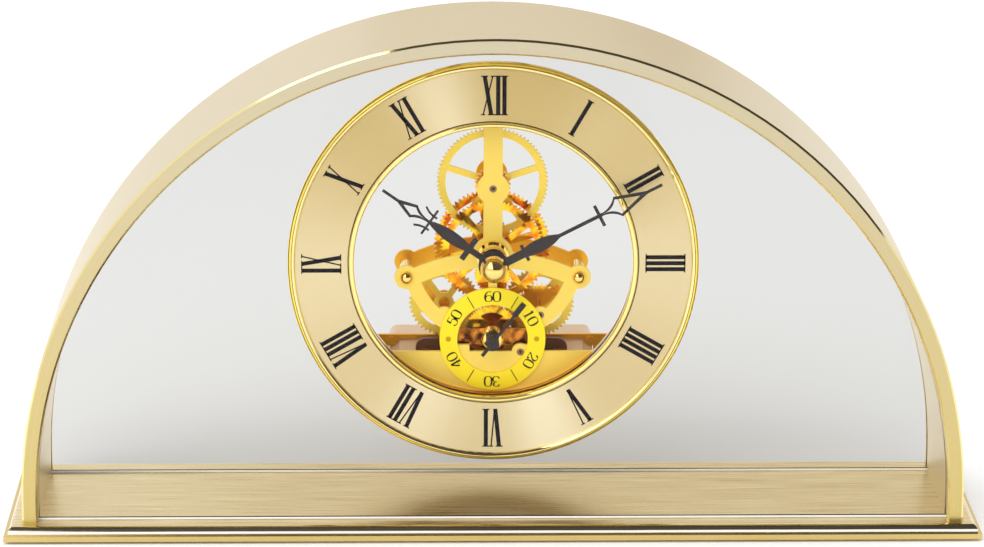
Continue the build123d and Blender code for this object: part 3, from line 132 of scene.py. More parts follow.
def place_round(tree, centre):
    """Arc length, depth and radius about an axis along Y, for marks that follow a turned surface."""
    place = add_node(tree, "ShaderNodeTexCoord").outputs["Object"]
    parts = add_node(tree, "ShaderNodeSeparateXYZ", {"Vector": place})
    across = add_node(tree, "ShaderNodeMath", {0: parts.outputs["X"], 1: centre.x}, operation="SUBTRACT")
    above = add_node(tree, "ShaderNodeMath", {0: parts.outputs["Z"], 1: centre.z}, operation="SUBTRACT")
    angle = add_node(tree, "ShaderNodeMath", {0: above, 1: across}, operation="ARCTAN2")
    flat = add_node(tree, "ShaderNodeCombineXYZ", {"X": across, "Y": above})
    radius = add_node(tree, "ShaderNodeVectorMath", {0: flat}, operation="LENGTH")
    arc = add_node(tree, "ShaderNodeMath", {0: angle, 1: radius}, operation="MULTIPLY")
    return add_node(tree, "ShaderNodeCombineXYZ", {"X": arc, "Y": parts.outputs["Y"], "Z": radius})


def streaks(tree, place, length, pitch):
    """Noise drawn out along the first axis of a place, for brush and turning marks."""
    drawn = add_node(tree, "ShaderNodeMapping", {
        "Vector": place, "Scale": (1 / length, 1 / pitch, 1 / pitch)})
    return add_node(tree, "ShaderNodeTexNoise", {"Vector": drawn, "Scale": 1.0, "Detail": 3.0})


def turned(centre):
    """Grain that the lathe leaves about an axis."""
    return lambda tree: streaks(tree, place_round(tree, centre), TURN_LENGTH, TURN_PITCH)


def patches(size):
    """Grain of soft uneven patches of about a size."""
    def draw(tree):
        place = add_node(tree, "ShaderNodeTexCoord").outputs["Object"]
        return add_node(tree, "ShaderNodeTexNoise", {"Vector": place, "Scale": 1 / size, "Detail": 2.0})
    return draw


lacquered = patches(LACQUER_PATCH)


def mottled(tree):
    """Close patches, drawn apart to their full range: painted patches of reflection and highlight on polished
    brass.
    """
    spots = patches(PAINTED_GLINT_PATCH)(tree)
    return add_node(tree, "ShaderNodeMapRange", {
        "Value": spots, "From Min": NOISE_LOW, "From Max": NOISE_HIGH})


def wound(tree):
    """Grain of wire, wound side by side along its bobbin."""
    place = add_node(tree, "ShaderNodeTexCoord").outputs["Object"]
    return add_node(tree, "ShaderNodeTexWave", bands_direction="X", inputs={
        "Vector": place, "Scale": 1 / (WAVE_RADIANS * WIRE), "Distortion": 0.3, "Detail": 1.0})


def coat(name, dark, light, rough, grain, relief=0.0, looks=None):
    """A material whose grain takes it from its dark shade to its light one. Its roughness is one number, or a
    range that follows the grain too; looks are numbers for other sockets of its surface."""
    material, tree = new_material(name)
    marks = grain(tree)
    shade = add_node(tree, "ShaderNodeMix", data_type="RGBA", inputs={
        "Factor": marks, "A": linear(dark), "B": linear(light)})
    if isinstance(rough, tuple):
        smooth, coarse = rough
        rough = add_node(tree, "ShaderNodeMapRange", {"Value": marks, "To Min": smooth, "To Max": coarse})
    inputs = {"Base Color": shade, "Roughness": rough, **(looks or {})}
    if relief:
        inputs["Normal"] = add_node(tree, "ShaderNodeBump", {
            "Height": marks, "Distance": relief, "Strength": 1.0})
    add_surface(tree, inputs)
    return material


def metal(name, dark, light, rough, grain, bare=1.0):
    """A metal, bare or under a share of lacquer."""
    return coat(name, dark, light, rough, grain, looks={"Metallic": bare})


def moulded(name, dark, light, rough, grit):
    """A moulded plastic: its fine spark-eroded grit breaks up the gloss."""
    return coat(name, dark, light, rough, patches(grit), relief=grit * GRIT_DEPTH)


# Arch band
ARCH_CHAMFER = 0.6 * MM
CHAMFER_REACH = 0.47 * ARCH_CHAMFER
ARCH_END_MARGIN = 0.02 * ARCH_CHAMFER
ARCH_RELIEF = 0.004 * MM


def satin_gilt_arch():
    """Gilt aluminium band: brushed round the arch, with polished yellow chamfers along both rims, and a
    painted reflection that turns its front faces from yellow at the foot to grey at the top.
    """
    material, tree = new_material("satin_gilt_band")
    brush = streaks(tree, place_round(tree, arch_centre), BRUSH_LENGTH, BRUSH_PITCH)
    place = add_node(tree, "ShaderNodeTexCoord").outputs["Object"]
    parts = add_node(tree, "ShaderNodeSeparateXYZ", {"Vector": place})
    depth = add_node(tree, "ShaderNodeMath", {0: parts.outputs["Y"]}, operation="ABSOLUTE")
    rim = add_node(tree, "ShaderNodeMath", operation="COMPARE", inputs={
        0: depth, 1: arch_high.y - ARCH_CHAMFER / 2, 2: CHAMFER_REACH})
    end = add_node(tree, "ShaderNodeMath", operation="GREATER_THAN", inputs={
        0: depth, 1: arch_high.y - ARCH_END_MARGIN})
    # Painted reflection: the front faces are yellower at the foot and greyer at the top
    painted_reflection_rise = add_node(tree, "ShaderNodeMapRange", {
        "Value": parts.outputs["Z"], "From Min": arch_low.z, "From Max": arch_high.z})
    outside, front_foot_painted_reflection, front_top_painted_reflection = [
        add_node(tree, "ShaderNodeMix", data_type="RGBA", inputs={
            "Factor": brush, "A": linear(dark), "B": linear(light)})
        for dark, light in (("#dccaa2", "#eadcbc"), ("#ceb872", "#dac581"), ("#c2b79a", "#cec4aa"))]
    front = add_node(tree, "ShaderNodeMix", data_type="RGBA", inputs={
        "Factor": painted_reflection_rise, "A": front_foot_painted_reflection, "B": front_top_painted_reflection})
    body = add_node(tree, "ShaderNodeMix", data_type="RGBA", inputs={
        "Factor": end, "A": outside, "B": front})
    whole = add_node(tree, "ShaderNodeMix", data_type="RGBA", inputs={
        "Factor": rim, "A": body, "B": linear("#f2e2a0")})
    satin = add_node(tree, "ShaderNodeMapRange", {"Value": brush, "To Min": 0.30, "To Max": 0.40})
    rough = add_node(tree, "ShaderNodeMix", data_type="FLOAT", inputs={
        "Factor": rim, "A": satin, "B": 0.08})
    relief = add_node(tree, "ShaderNodeBump", {"Height": brush, "Distance": ARCH_RELIEF, "Strength": 1.0})
    add_surface(tree, {"Base Color": whole, "Metallic": 1.0, "Roughness": rough, "Normal": relief})
    return material


# Plinth plate: the satin of its top fades into the polish of its edge between two depths under the top
PLINTH_TOP_MARGIN = 0.02 * MM
SATIN_FROM = 1.3 * MM
SATIN_FULL = 0.4 * MM
PLINTH_RELIEF = 0.003 * MM


def satin_gilt_plinth():
    """Gilt plate: brushed along its length on top, polished and pale round its edge."""
    material, tree = new_material("satin_gilt_plate")
    place = add_node(tree, "ShaderNodeTexCoord").outputs["Object"]
    parts = add_node(tree, "ShaderNodeSeparateXYZ", {"Vector": place})
    brush = add_node(tree, "ShaderNodeMapRange", {
        "Value": streaks(tree, place, BRUSH_LENGTH, BRUSH_PITCH),
        "From Min": NOISE_LOW, "From Max": NOISE_HIGH})
    top = add_node(tree, "ShaderNodeMath", operation="GREATER_THAN", inputs={
        0: parts.outputs["Z"], 1: plinth_top - PLINTH_TOP_MARGIN})
    upper = add_node(tree, "ShaderNodeMapRange", {
        "Value": parts.outputs["Z"],
        "From Min": plinth_top - SATIN_FROM, "From Max": plinth_top - SATIN_FULL})
    satin = add_node(tree, "ShaderNodeMix", data_type="RGBA", inputs={
        "Factor": brush, "A": linear("#d6bd84"), "B": linear("#f6e6b8")})
    whole = add_node(tree, "ShaderNodeMix", data_type="RGBA", inputs={
        "Factor": upper, "A": linear("#fdf6e8"), "B": satin})
    brushed = add_node(tree, "ShaderNodeMapRange", {"Value": brush, "To Min": 0.26, "To Max": 0.36})
    rough = add_node(tree, "ShaderNodeMix", data_type="FLOAT", inputs={
        "Factor": top, "A": 0.06, "B": brushed})
    relief = add_node(tree, "ShaderNodeBump", {"Height": brush, "Distance": PLINTH_RELIEF, "Strength": 1.0})
    add_surface(tree, {"Base Color": whole, "Metallic": 1.0, "Roughness": rough, "Normal": relief})
    return material


# Dial: its painted light at mid height, how far that painted light falls to the top as painted shade, and the
# share that the lathe marks have in it
DIAL_PAINTED_LIGHT = 0.22
DIAL_PAINTED_FALL = -0.2
DIAL_MARKS = 0.12
DIAL_RELIEF = 0.002 * MM
# A clock angle starts at the top and runs clockwise, so this takes it to an angle from the right
CLOCK_START = 90
# Painted fans of light on the spun dial: clock angle, sharpness, strength, and whether the opposite radius has
# one too
DIAL_PAINTED_FANS = ((342, 50, 0.7, True), (88, 10, 0.38, True), (205, 40, 0.45, False), (37, 40, 0.15, False))


def chapter_gilt():
    """Spun gilt dial: fine lathe marks, with fans of light painted along its radii and painted shade towards
    its top.
    """
    material, tree = new_material("spun_gilt_dial_painted_light")
    place = place_round(tree, dial_centre)
    marks = streaks(tree, place, TURN_LENGTH, TURN_PITCH)
    parts = add_node(tree, "ShaderNodeSeparateXYZ", {"Vector": place})
    angle = add_node(tree, "ShaderNodeMath", operation="DIVIDE", inputs={
        0: parts.outputs["X"], 1: parts.outputs["Z"]})
    # Painted shade: the dial's colour falls towards its top
    height = add_node(tree, "ShaderNodeMath", {0: angle}, operation="SINE")
    light = add_node(tree, "ShaderNodeMath", operation="MULTIPLY_ADD", inputs={
        0: height, 1: DIAL_PAINTED_FALL, 2: DIAL_PAINTED_LIGHT})
    # Painted fans of light, each added along its radius
    for clock_angle, sharpness, strength, both in DIAL_PAINTED_FANS:
        toward = add_node(tree, "ShaderNodeMath", operation="ADD", inputs={
            0: angle, 1: radians(clock_angle - CLOCK_START)})
        along = add_node(tree, "ShaderNodeMath", {0: toward}, operation="COSINE")
        side = add_node(tree, "ShaderNodeMath", operation="ABSOLUTE" if both else "MAXIMUM", inputs={
            0: along, 1: 0.0})
        painted_fan = add_node(tree, "ShaderNodeMath", {0: side, 1: sharpness}, operation="POWER")
        light = add_node(tree, "ShaderNodeMath", {0: painted_fan, 1: strength, 2: light}, operation="MULTIPLY_ADD")
    mixed = add_node(tree, "ShaderNodeMix", data_type="FLOAT", inputs={
        "Factor": DIAL_MARKS, "A": light, "B": marks})
    shade = add_node(tree, "ShaderNodeMix", data_type="RGBA", inputs={
        "Factor": mixed, "A": linear("#c4a968"), "B": linear("#f2e4c0")})
    rough = add_node(tree, "ShaderNodeMapRange", {"Value": marks, "To Min": 0.32, "To Max": 0.42})
    relief = add_node(tree, "ShaderNodeBump", {"Height": marks, "Distance": DIAL_RELIEF, "Strength": 1.0})
    add_surface(tree, {"Base Color": shade, "Metallic": 0.75, "Roughness": rough, "Normal": relief})
    return material


# Rim: painted reflections of what its bore mirrors stand in bands, each with its share of the depth and its
# colour, that waver
BORE_LENGTH = 25 * MM
BORE_PITCH = 6 * MM
BORE_WAVER = 2 * MM
BORE_DEPTH = 9 * MM
BORE_PAINTED_REFLECTIONS = (
    (0.0, "#ffe894"), (0.07, "#f4dc70"), (0.1, "#5a4010"), (0.15, "#ffd84a"), (0.28, "#ffc832"),
    (0.34, "#4a2408"), (0.5, "#5a2d0a"), (0.58, "#f0a81c"), (0.74, "#ffc832"), (0.8, "#5a2d0a"),
    (0.86, "#6a360c"), (0.9, "#e8b040"), (1.0, "#ffcc48"))


def banded_rim():
    """Polished rim: bright on its nose, with bands of brown and yellow down its bore that are painted
    reflections.
    """
    material, tree = new_material("gilt_rim_painted_reflections")
    waver = streaks(tree, place_round(tree, dial_centre), BORE_LENGTH, BORE_PITCH)
    place = add_node(tree, "ShaderNodeTexCoord").outputs["Object"]
    parts = add_node(tree, "ShaderNodeSeparateXYZ", {"Vector": place})
    depth = add_node(tree, "ShaderNodeMath", {0: parts.outputs["Y"], 1: dial_face}, operation="SUBTRACT")
    moved = add_node(tree, "ShaderNodeMath", {0: waver, 1: BORE_WAVER, 2: depth}, operation="MULTIPLY_ADD")
    share = add_node(tree, "ShaderNodeMapRange", {
        "Value": moved, "From Min": BORE_WAVER / 2, "From Max": BORE_WAVER / 2 + BORE_DEPTH})
    # The painted reflections, band by band down the bore
    bands = add_node(tree, "ShaderNodeValToRGB", {"Fac": share})
    stops = bands.color_ramp.elements
    stops.remove(stops[1])
    stops[0].position = BORE_PAINTED_REFLECTIONS[0][0]
    stops[0].color = linear(BORE_PAINTED_REFLECTIONS[0][1])
    for position, shade in BORE_PAINTED_REFLECTIONS[1:]:
        stops.new(position).color = linear(shade)
    rough = add_node(tree, "ShaderNodeMapRange", {"Value": waver, "To Min": 0.05, "To Max": 0.09})
    add_surface(tree, {"Base Color": bands, "Metallic": 0.85, "Roughness": rough})
    return material


# Bezel: the painted dark line's place in from the outside, and half its width
BEZEL_LINE_INSET = 1.05 * MM
BEZEL_LINE_REACH = 0.1 * MM


def lined_bezel():
    """Polished bezel: a thin dark line is painted into its bright nose, pale inside the line and yellow
    outside.
    """
    material, tree = new_material("lined_gilt_bezel")
    sheen = lacquered(tree)
    parts = add_node(tree, "ShaderNodeSeparateXYZ", {"Vector": place_round(tree, dial_centre)})
    line_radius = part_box("outer_bezel")[1].x - BEZEL_LINE_INSET
    line = add_node(tree, "ShaderNodeMath", operation="COMPARE", inputs={
        0: parts.outputs["Z"], 1: line_radius, 2: BEZEL_LINE_REACH})
    outer = add_node(tree, "ShaderNodeMath", operation="GREATER_THAN", inputs={
        0: parts.outputs["Z"], 1: line_radius})
    pale, yellow = [
        add_node(tree, "ShaderNodeMix", data_type="RGBA", inputs={
            "Factor": sheen, "A": linear(dark), "B": linear(light)})
        for dark, light in (("#f4e094", "#fceaac"), ("#f2d452", "#fae070"))]
    bands = add_node(tree, "ShaderNodeMix", data_type="RGBA", inputs={
        "Factor": outer, "A": pale, "B": yellow})
    whole = add_node(tree, "ShaderNodeMix", data_type="RGBA", inputs={
        "Factor": line, "A": bands, "B": linear("#54440f")})
    rough = add_node(tree, "ShaderNodeMapRange", {"Value": sheen, "To Min": 0.04, "To Max": 0.08})
    add_surface(tree, {"Base Color": whole, "Metallic": 1.0, "Roughness": rough})
    return material


# A coating on the panes takes off most of their mirror image, which a lower index than plain glass gives
COATED_GLASS_IOR = 1.15


def float_glass(name, tint):
    """Coated float glass: smooth and clear, with a faint mirror image; lamps reach what stands behind it."""
    material, tree = new_material(name)
    pane = add_node(tree, "ShaderNodeBsdfPrincipled", {
        "Base Color": linear(tint), "Roughness": 0.0, "IOR": COATED_GLASS_IOR, "Transmission Weight": 1.0})
    clear = add_node(tree, "ShaderNodeBsdfTransparent", {"Color": linear(tint)})
    path = add_node(tree, "ShaderNodeLightPath")
    lit = add_node(tree, "ShaderNodeMath", operation="MAXIMUM", inputs={
        0: path.outputs["Is Shadow Ray"], 1: path.outputs["Is Diffuse Ray"]})
    both = add_node(tree, "ShaderNodeMixShader", {0: lit, 1: pane, 2: clear})
    add_node(tree, "ShaderNodeOutputMaterial", {"Surface": both})
    return material


# Battery cell: its coppery band and its nub, each measured from the end of the nub
CELL_BAND = 16 * MM
CELL_NUB = 1.9 * MM
CELL_PATCH = 8 * MM


def cell_jacket():
    """Printed film round a dry cell: glossy black with a coppery band, and bare nickel at its nub."""
    material, tree = new_material("printed_cell_jacket")
    cell_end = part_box("battery_cell")[1].x
    place = add_node(tree, "ShaderNodeTexCoord").outputs["Object"]
    parts = add_node(tree, "ShaderNodeSeparateXYZ", {"Vector": place})
    band, nub = [
        add_node(tree, "ShaderNodeMath", operation="GREATER_THAN", inputs={
            0: parts.outputs["X"], 1: cell_end - reach})
        for reach in (CELL_BAND, CELL_NUB)]
    film = add_node(tree, "ShaderNodeMix", data_type="RGBA", inputs={
        "Factor": band, "A": linear("#1d1e20"), "B": linear("#a2642c")})
    whole = add_node(tree, "ShaderNodeMix", data_type="RGBA", inputs={
        "Factor": nub, "A": film, "B": linear("#c9c6bf")})
    rough = add_node(tree, "ShaderNodeMapRange", {
        "Value": patches(CELL_PATCH)(tree), "To Min": 0.25, "To Max": 0.35})
    add_surface(tree, {"Base Color": whole, "Metallic": nub, "Roughness": rough})
    return material


def pivoted_brass(joint):
    """Cut brass arbor: bright and warm, and browned on the pivot that stands in the front plate."""
    material, tree = new_material(f"pivoted_brass_{joint}")
    marks = turned(joint_at[joint])(tree)
    place = add_node(tree, "ShaderNodeTexCoord").outputs["Object"]
    parts = add_node(tree, "ShaderNodeSeparateXYZ", {"Vector": place})
    pivot = add_node(tree, "ShaderNodeMath", operation="LESS_THAN", inputs={
        0: parts.outputs["Y"], 1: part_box("front_plate")[1].y})
    bright = add_node(tree, "ShaderNodeMix", data_type="RGBA", inputs={
        "Factor": marks, "A": linear("#f8b420"), "B": linear("#ffd340")})
    whole = add_node(tree, "ShaderNodeMix", data_type="RGBA", inputs={
        "Factor": pivot, "A": bright, "B": linear("#4a382c")})
    rough = add_node(tree, "ShaderNodeMapRange", {"Value": marks, "To Min": 0.1, "To Max": 0.2})
    add_surface(tree, {"Base Color": whole, "Metallic": 0.85, "Roughness": rough})
    return material


def satin_brass(joint):
    """Cut brass wheel behind the front plate: pale and satin, with lathe marks about its own arbor."""
    return metal(f"satin_brass_{joint}", "#fcd648", "#ffe662", (0.3, 0.4), turned(joint_at[joint]),
                 bare=0.5)


# Polished gilt and brass are mirrors, a little uneven under their lacquer
polished_gilt = metal("polished_gilt", "#e0c662", "#ead27c", (0.04, 0.08), lacquered)
polished_brass = metal("polished_brass", "#f6cf66", "#ffe494", (0.04, 0.08), lacquered)
# Rolled strip: a soft gold gleam, drawn out wide
sole_gilt = metal("rolled_gilt_strip", "#d4ba70", "#dec686", (0.2, 0.3), lacquered)
# Lapped front plate: an even, almost flat yellow under thick lacquer
gilt_plate = metal("lapped_gilt_plate", "#f4d254", "#fcde68", (0.42, 0.52), lacquered, bare=0.35)
# Rear plate: gilt painted orange, as the shade that the train casts on it
rear_gilt_painted_shade = metal("gilt_plate_painted_orange_shade", "#ffae14", "#ffcc34", (0.3, 0.4), lacquered, bare=0.7)
# Seconds dial: flat lemon yellow, with faint lathe marks
yellow_dial = metal("yellow_gilt_dial", "#fbe000", "#ffe800", (0.4, 0.5), turned(seconds_centre), bare=0.2)
# Peg ends: duller and browner than the dial that they hold
peg_gilt = metal("dull_gilt_peg", "#c29a10", "#d6ae1c", (0.4, 0.5), lacquered)
# Polished brass deep in the train: patches of yellow and orange painted into its colour, as reflections of the
# wheels round it
brass_painted_reflections = metal("brass_painted_reflections", "#e67e00", "#ffd62c", (0.06, 0.14), mottled, bare=0.85)
# Browned brass: dark copper patches with a polish over them, and pale patches painted in as highlights
browned = metal("browned_brass_painted_glints", "#3a1606", "#d8862e", (0.05, 0.12), mottled)
# Turned steel: grey, with a broad soft gleam
steel = metal("turned_steel", "#b4aea2", "#cfc9bc", (0.18, 0.30), lacquered)
# Nickel plate: a warm, pale mirror
nickel = metal("nickel_plate", "#d8d0bd", "#e9e2d2", (0.08, 0.14), lacquered)
# Bearing bronze: brown and dull
bronze = metal("bearing_bronze", "#86664c", "#a07c5e", (0.3, 0.42), lacquered)
# Gilt in a groove: painted browner, as shade in the groove, and duller than the faces round it
groove_painted_shade = metal("gilt_painted_shade", "#6d5a32", "#7c6839", (0.4, 0.5), lacquered)
# Moulded styrene: plain colour with a broad soft gloss
tan_plastic = moulded("tan_moulded_styrene", "#f0d0aa", "#fadfc0", (0.32, 0.42), 0.5 * MM)
brown_plastic = moulded("brown_moulded_styrene", "#5e341c", "#744528", (0.3, 0.4), 0.5 * MM)
black_plastic = moulded("black_moulded_styrene", "#1a1a1a", "#242424", (0.35, 0.5), 0.4 * MM)
# Solder mask: dark green and glossy over the tracks
board_green = moulded("solder_mask", "#1c4a2a", "#255c36", (0.25, 0.35), 1.2 * MM)
# Black enamel on stamped steel: close to flat, with a little orange peel
enamel = coat("matt_black_enamel", "#332e2f", "#3e3839", (0.5, 0.65), patches(0.6 * MM),
              relief=0.004 * MM, looks={"Specular IOR Level": 0.15})
# Screen-printed ink: black with a trace of violet, matt
ink = coat("screen_printed_ink", "#141016", "#1e1a20", (0.6, 0.75), patches(1.5 * MM),
           looks={"Specular IOR Level": 0.1})
# Pressed wool felt: rough, with matted fibres and a faint bloom
felt = coat("pressed_felt", "#1d1d1b", "#34332f", 0.95, patches(0.5 * MM),
            relief=0.15 * MM, looks={"Sheen Weight": 0.4})
# Enamelled copper wire: a ribbed red-brown gleam
winding = coat("enamelled_copper_winding", "#5e2412", "#b4602c", 0.3, wound,
               relief=WIRE / 3, looks={"Metallic": 0.8})
# Silicone sealant: milky white and soft in its gloss
sealant = coat("milky_silicone", "#f4f4f2", "#ffffff", 0.35, patches(3 * MM))

# The nodes that have each finish
finishes = (
    (satin_gilt_arch(), ("arch_frame",)),
    (satin_gilt_plinth(), ("plinth",)),
    (chapter_gilt(), ("chapter_ring",)),
    (lined_bezel(), ("outer_bezel",)),
    (banded_rim(), ("inner_rim",)),
    (float_glass("clear_float_glass", "#fdfdfc"), ("front_pane",)),
    (float_glass("rear_float_glass", "#fbfbfa"), ("rear_pane",)),
    (cell_jacket(), ("battery_cell",)),
    (satin_brass("top_spin"), ("top_wheel",)),
    (satin_brass("right_spin"), ("right_wheel",)),
    (satin_brass("left_spin"), ("left_wheel",)),
    (pivoted_brass("top_spin"), ("top_arbor",)),
    (pivoted_brass("right_spin"), ("right_arbor",)),
    (pivoted_brass("motor_spin"), ("motor_wheel",)),
    (brass_painted_reflections, ("hour_wheel", "motion_wheel", "centre_wheel", "cannon_pinion", "transfer_wheel",
                    "seconds_wheel", "seconds_arbor", "left_stud")),
    (polished_brass, ("centre_collar", "hand_nut", "pillar_nuts", "seconds_bush", "pillars")),
    (polished_gilt, ("mounting_ring", "clamp_ring", "dial_posts")),
    (sole_gilt, ("sole_plate",)),
    (gilt_plate, ("front_plate",)),
    (rear_gilt_painted_shade, ("rear_plate", "box_screws")),
    (yellow_dial, ("subdial_ring",)),
    (peg_gilt, ("subdial_pegs",)),
    (browned, ("seconds_bridge",)),
    (groove_painted_shade, ("dial_backing",)),
    (bronze, ("front_bushes", "rear_bushes")),
    (steel, ("arch_screws", "cage_screws", "rim_screws", "clamp_screws", "motion_stud", "centre_arbor",
             "motor_stator")),
    (nickel, ("battery_contacts", "quartz_crystal")),
    (enamel, ("hour_hand", "minute_hand", "seconds_hand")),
    (tan_plastic, ("battery_box",)),
    (brown_plastic, ("motor_cage",)),
    (black_plastic, ("setting_knob", "motor_rotor")),
    (board_green, ("circuit_board",)),
    (winding, ("motor_coil",)),
    (felt, ("foot_pads",)),
)
for finish, nodes in finishes:
    for node in nodes:
        materials = frame["nodes"][node].data.materials
        materials.clear()
        materials.append(finish)


def deselect():
    bpy.ops.object.select_all(action="DESELECT")


def join(pieces, name):
    deselect()
    for piece in pieces:
        piece.select_set(True)
    bpy.context.view_layer.objects.active = pieces[0]
    bpy.ops.object.join()
    pieces[0].name = name
    pieces[0].data.name = name
    return pieces[0]


def duplicate(piece):
    copy = piece.copy()
    copy.data = piece.data.copy()
    bpy.context.scene.collection.objects.link(copy)
    return copy


def settle(piece, place):
    """Put a place into a piece's mesh, so that its object stays at the origin."""
    piece.data.transform(place)
    piece.data.update()


def finish_piece(piece, finish):
    piece.data.materials.clear()
    piece.data.materials.append(finish)
    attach(piece, "case")


# Printing on both dials: its film, and the degrees between hours and between seconds
INK_FILM = 0.03 * MM
HOUR_ANGLE = 30
SECOND_ANGLE = 6
# Hour numerals, drawn upright in the XZ plane with their feet at Z = 0
CAP_HEIGHT = 11.9 * MM
STEM = 1.25 * MM
HAIRLINE = 0.42 * MM
SERIF = 0.36 * MM
SERIF_REACH = 0.42 * MM
SERIF_TOP = CAP_HEIGHT - SERIF
LETTER_GAP = 0.06 * MM
LETTER_WIDTH = {"I": 1.78 * MM, "V": 4.1 * MM, "X": 4.1 * MM}
NUMERAL_FOOT = 45.1 * MM
NUMERALS = ("XII", "I", "II", "III", "IIII", "V", "VI", "VII", "VIII", "IX", "X", "XI")


def stroke(foot, head, width, low, high):
    """A flat stroke from its foot to its head, cut level at both ends."""
    middle = (low + high) / 2
    deselect()
    bpy.ops.mesh.primitive_plane_add(size=1, rotation=(pi / 2, 0, 0))
    bar = bpy.context.object
    bar.scale = (width, high - low, 1)
    bar.location = (foot, 0, middle)
    bpy.ops.object.transform_apply()
    bpy.ops.object.mode_set(mode="EDIT")
    bpy.ops.mesh.select_all(action="DESELECT")
    bpy.ops.object.mode_set(mode="OBJECT")
    for corner in bar.data.vertices:
        corner.select = corner.co.z > middle
    bpy.ops.object.mode_set(mode="EDIT")
    bpy.ops.transform.translate(value=(head - foot, 0, 0))
    bpy.ops.object.mode_set(mode="OBJECT")
    return bar


def serif(middle, width, low):
    return stroke(middle, middle, width + 2 * SERIF_REACH, low, low + SERIF)


def letter_i():
    strokes = [stroke(0, 0, STEM, 0, CAP_HEIGHT), serif(0, STEM, 0), serif(0, STEM, SERIF_TOP)]
    return join(strokes, "letter_i")


def letter_v():
    reach = LETTER_WIDTH["V"] / 2 - SERIF_REACH
    thick, thin = -reach + STEM / 2, reach - HAIRLINE / 2
    strokes = [stroke(HAIRLINE / 2, thick, STEM, 0, CAP_HEIGHT),
               stroke(HAIRLINE, thin, HAIRLINE, 0, CAP_HEIGHT),
               serif(thick, STEM, SERIF_TOP), serif(thin, HAIRLINE, SERIF_TOP)]
    return join(strokes, "letter_v")


def letter_x():
    reach = LETTER_WIDTH["X"] / 2 - SERIF_REACH
    thick, thin = reach - STEM / 2, reach - HAIRLINE / 2
    strokes = [stroke(thick, -thick, STEM, 0, CAP_HEIGHT), stroke(-thin, thin, HAIRLINE, 0, CAP_HEIGHT)]
    for low, lean in ((0, 1), (SERIF_TOP, -1)):
        strokes.append(serif(lean * thick, STEM, low))
        strokes.append(serif(-lean * thin, HAIRLINE, low))
    return join(strokes, "letter_x")


def raise_film(piece, face):
    """Give flat printing the thickness of its film and stand it on a face."""
    deselect()
    piece.select_set(True)
    bpy.context.view_layer.objects.active = piece
    film = piece.modifiers.new("film", "SOLIDIFY")
    film.thickness = INK_FILM
    film.offset = 0
    bpy.ops.object.modifier_apply(modifier=film.name)
    settle(piece, Matrix.Translation((0, face - INK_FILM / 2, 0)))


def turn_to(piece, centre, clock_angle):
    """Turn a piece that stands on a dial's axis to its clock angle, and move it to that dial."""
    turn = Matrix.Rotation(radians(clock_angle), 4, "Y")
    settle(piece, Matrix.Translation((centre.x, 0, centre.z)) @ turn)


def hour_numerals():
    letters = {"I": letter_i(), "V": letter_v(), "X": letter_x()}
    for hour, word in enumerate(NUMERALS):
        left = -sum(LETTER_WIDTH[letter] + LETTER_GAP for letter in word) / 2
        pieces = []
        for letter in word:
            piece = duplicate(letters[letter])
            advance = LETTER_WIDTH[letter] + LETTER_GAP
            settle(piece, Matrix.Translation((left + advance / 2, 0, NUMERAL_FOOT)))
            left += advance
            pieces.append(piece)
        numeral = join(pieces, f"numeral_{hour or 12:02d}")
        raise_film(numeral, dial_face)
        turn_to(numeral, dial_centre, HOUR_ANGLE * hour)
        finish_piece(numeral, ink)
    for letter in letters.values():
        bpy.data.objects.remove(letter)


# Seconds figures: each is drawn with pen lines through a few points in a box one high, thick going down and
# thin going across
FIGURES = (60, 10, 20, 30, 40, 50)
FIGURE_HEIGHT = 3.15 * MM
FIGURE_FOOT = 11.7 * MM
FIGURE_THICK = 0.52 * MM
FIGURE_THIN = 0.17 * MM
FIGURE_ADVANCE = 0.8
FIGURE_BREADTH = 1.2
FIGURE_MIDDLE = 0.95
PEN_STEPS = 6
PEN_ORDER = 3
LEAST_RUN = 1e-9
TICKS = (5, 25, 35, 55)
TICK_WIDTH = 0.26 * MM
TICK_START = 11.0 * MM
TICK_END = 15.2 * MM
FIGURE_LINES = {
    "0": [[(0.3, 1.0), (0.12, 0.97), (0.02, 0.74), (0.02, 0.26), (0.12, 0.03), (0.3, 0.0),
           (0.48, 0.03), (0.58, 0.26), (0.58, 0.74), (0.48, 0.97), (0.3, 1.0)]],
    "1": [[(0.14, 0.84), (0.3, 0.98)], [(0.3, 1.0), (0.3, 0.02)], [(0.12, 0.02), (0.5, 0.02)]],
    "2": [[(0.08, 0.74), (0.12, 0.94), (0.3, 1.02), (0.5, 0.94), (0.55, 0.72), (0.44, 0.5),
           (0.22, 0.3), (0.06, 0.06)],
          [(0.06, 0.06), (0.54, 0.06)], [(0.54, 0.06), (0.57, 0.24)]],
    "3": [[(0.08, 0.8), (0.14, 0.98), (0.32, 1.02), (0.52, 0.94), (0.52, 0.64), (0.36, 0.54), (0.24, 0.54)],
          [(0.24, 0.54), (0.44, 0.54), (0.6, 0.4), (0.58, 0.12), (0.4, -0.02), (0.18, 0.0), (0.07, 0.2)]],
    "4": [[(0.4, 0.98), (0.04, 0.3)], [(0.04, 0.3), (0.6, 0.3)], [(0.42, 0.98), (0.42, 0.02)],
          [(0.26, 0.02), (0.58, 0.02)]],
    "5": [[(0.15, 0.95), (0.54, 0.95)], [(0.15, 0.95), (0.12, 0.52)],
          [(0.12, 0.5), (0.28, 0.62), (0.52, 0.58), (0.6, 0.32), (0.54, 0.08), (0.36, -0.02),
           (0.16, 0.0), (0.07, 0.18)]],
    "6": [[(0.52, 0.92), (0.44, 1.0), (0.22, 0.96), (0.03, 0.66), (0.02, 0.26), (0.13, 0.02), (0.3, 0.0),
           (0.48, 0.03), (0.58, 0.2), (0.57, 0.44), (0.45, 0.6), (0.3, 0.6), (0.14, 0.56), (0.06, 0.36)]],
}


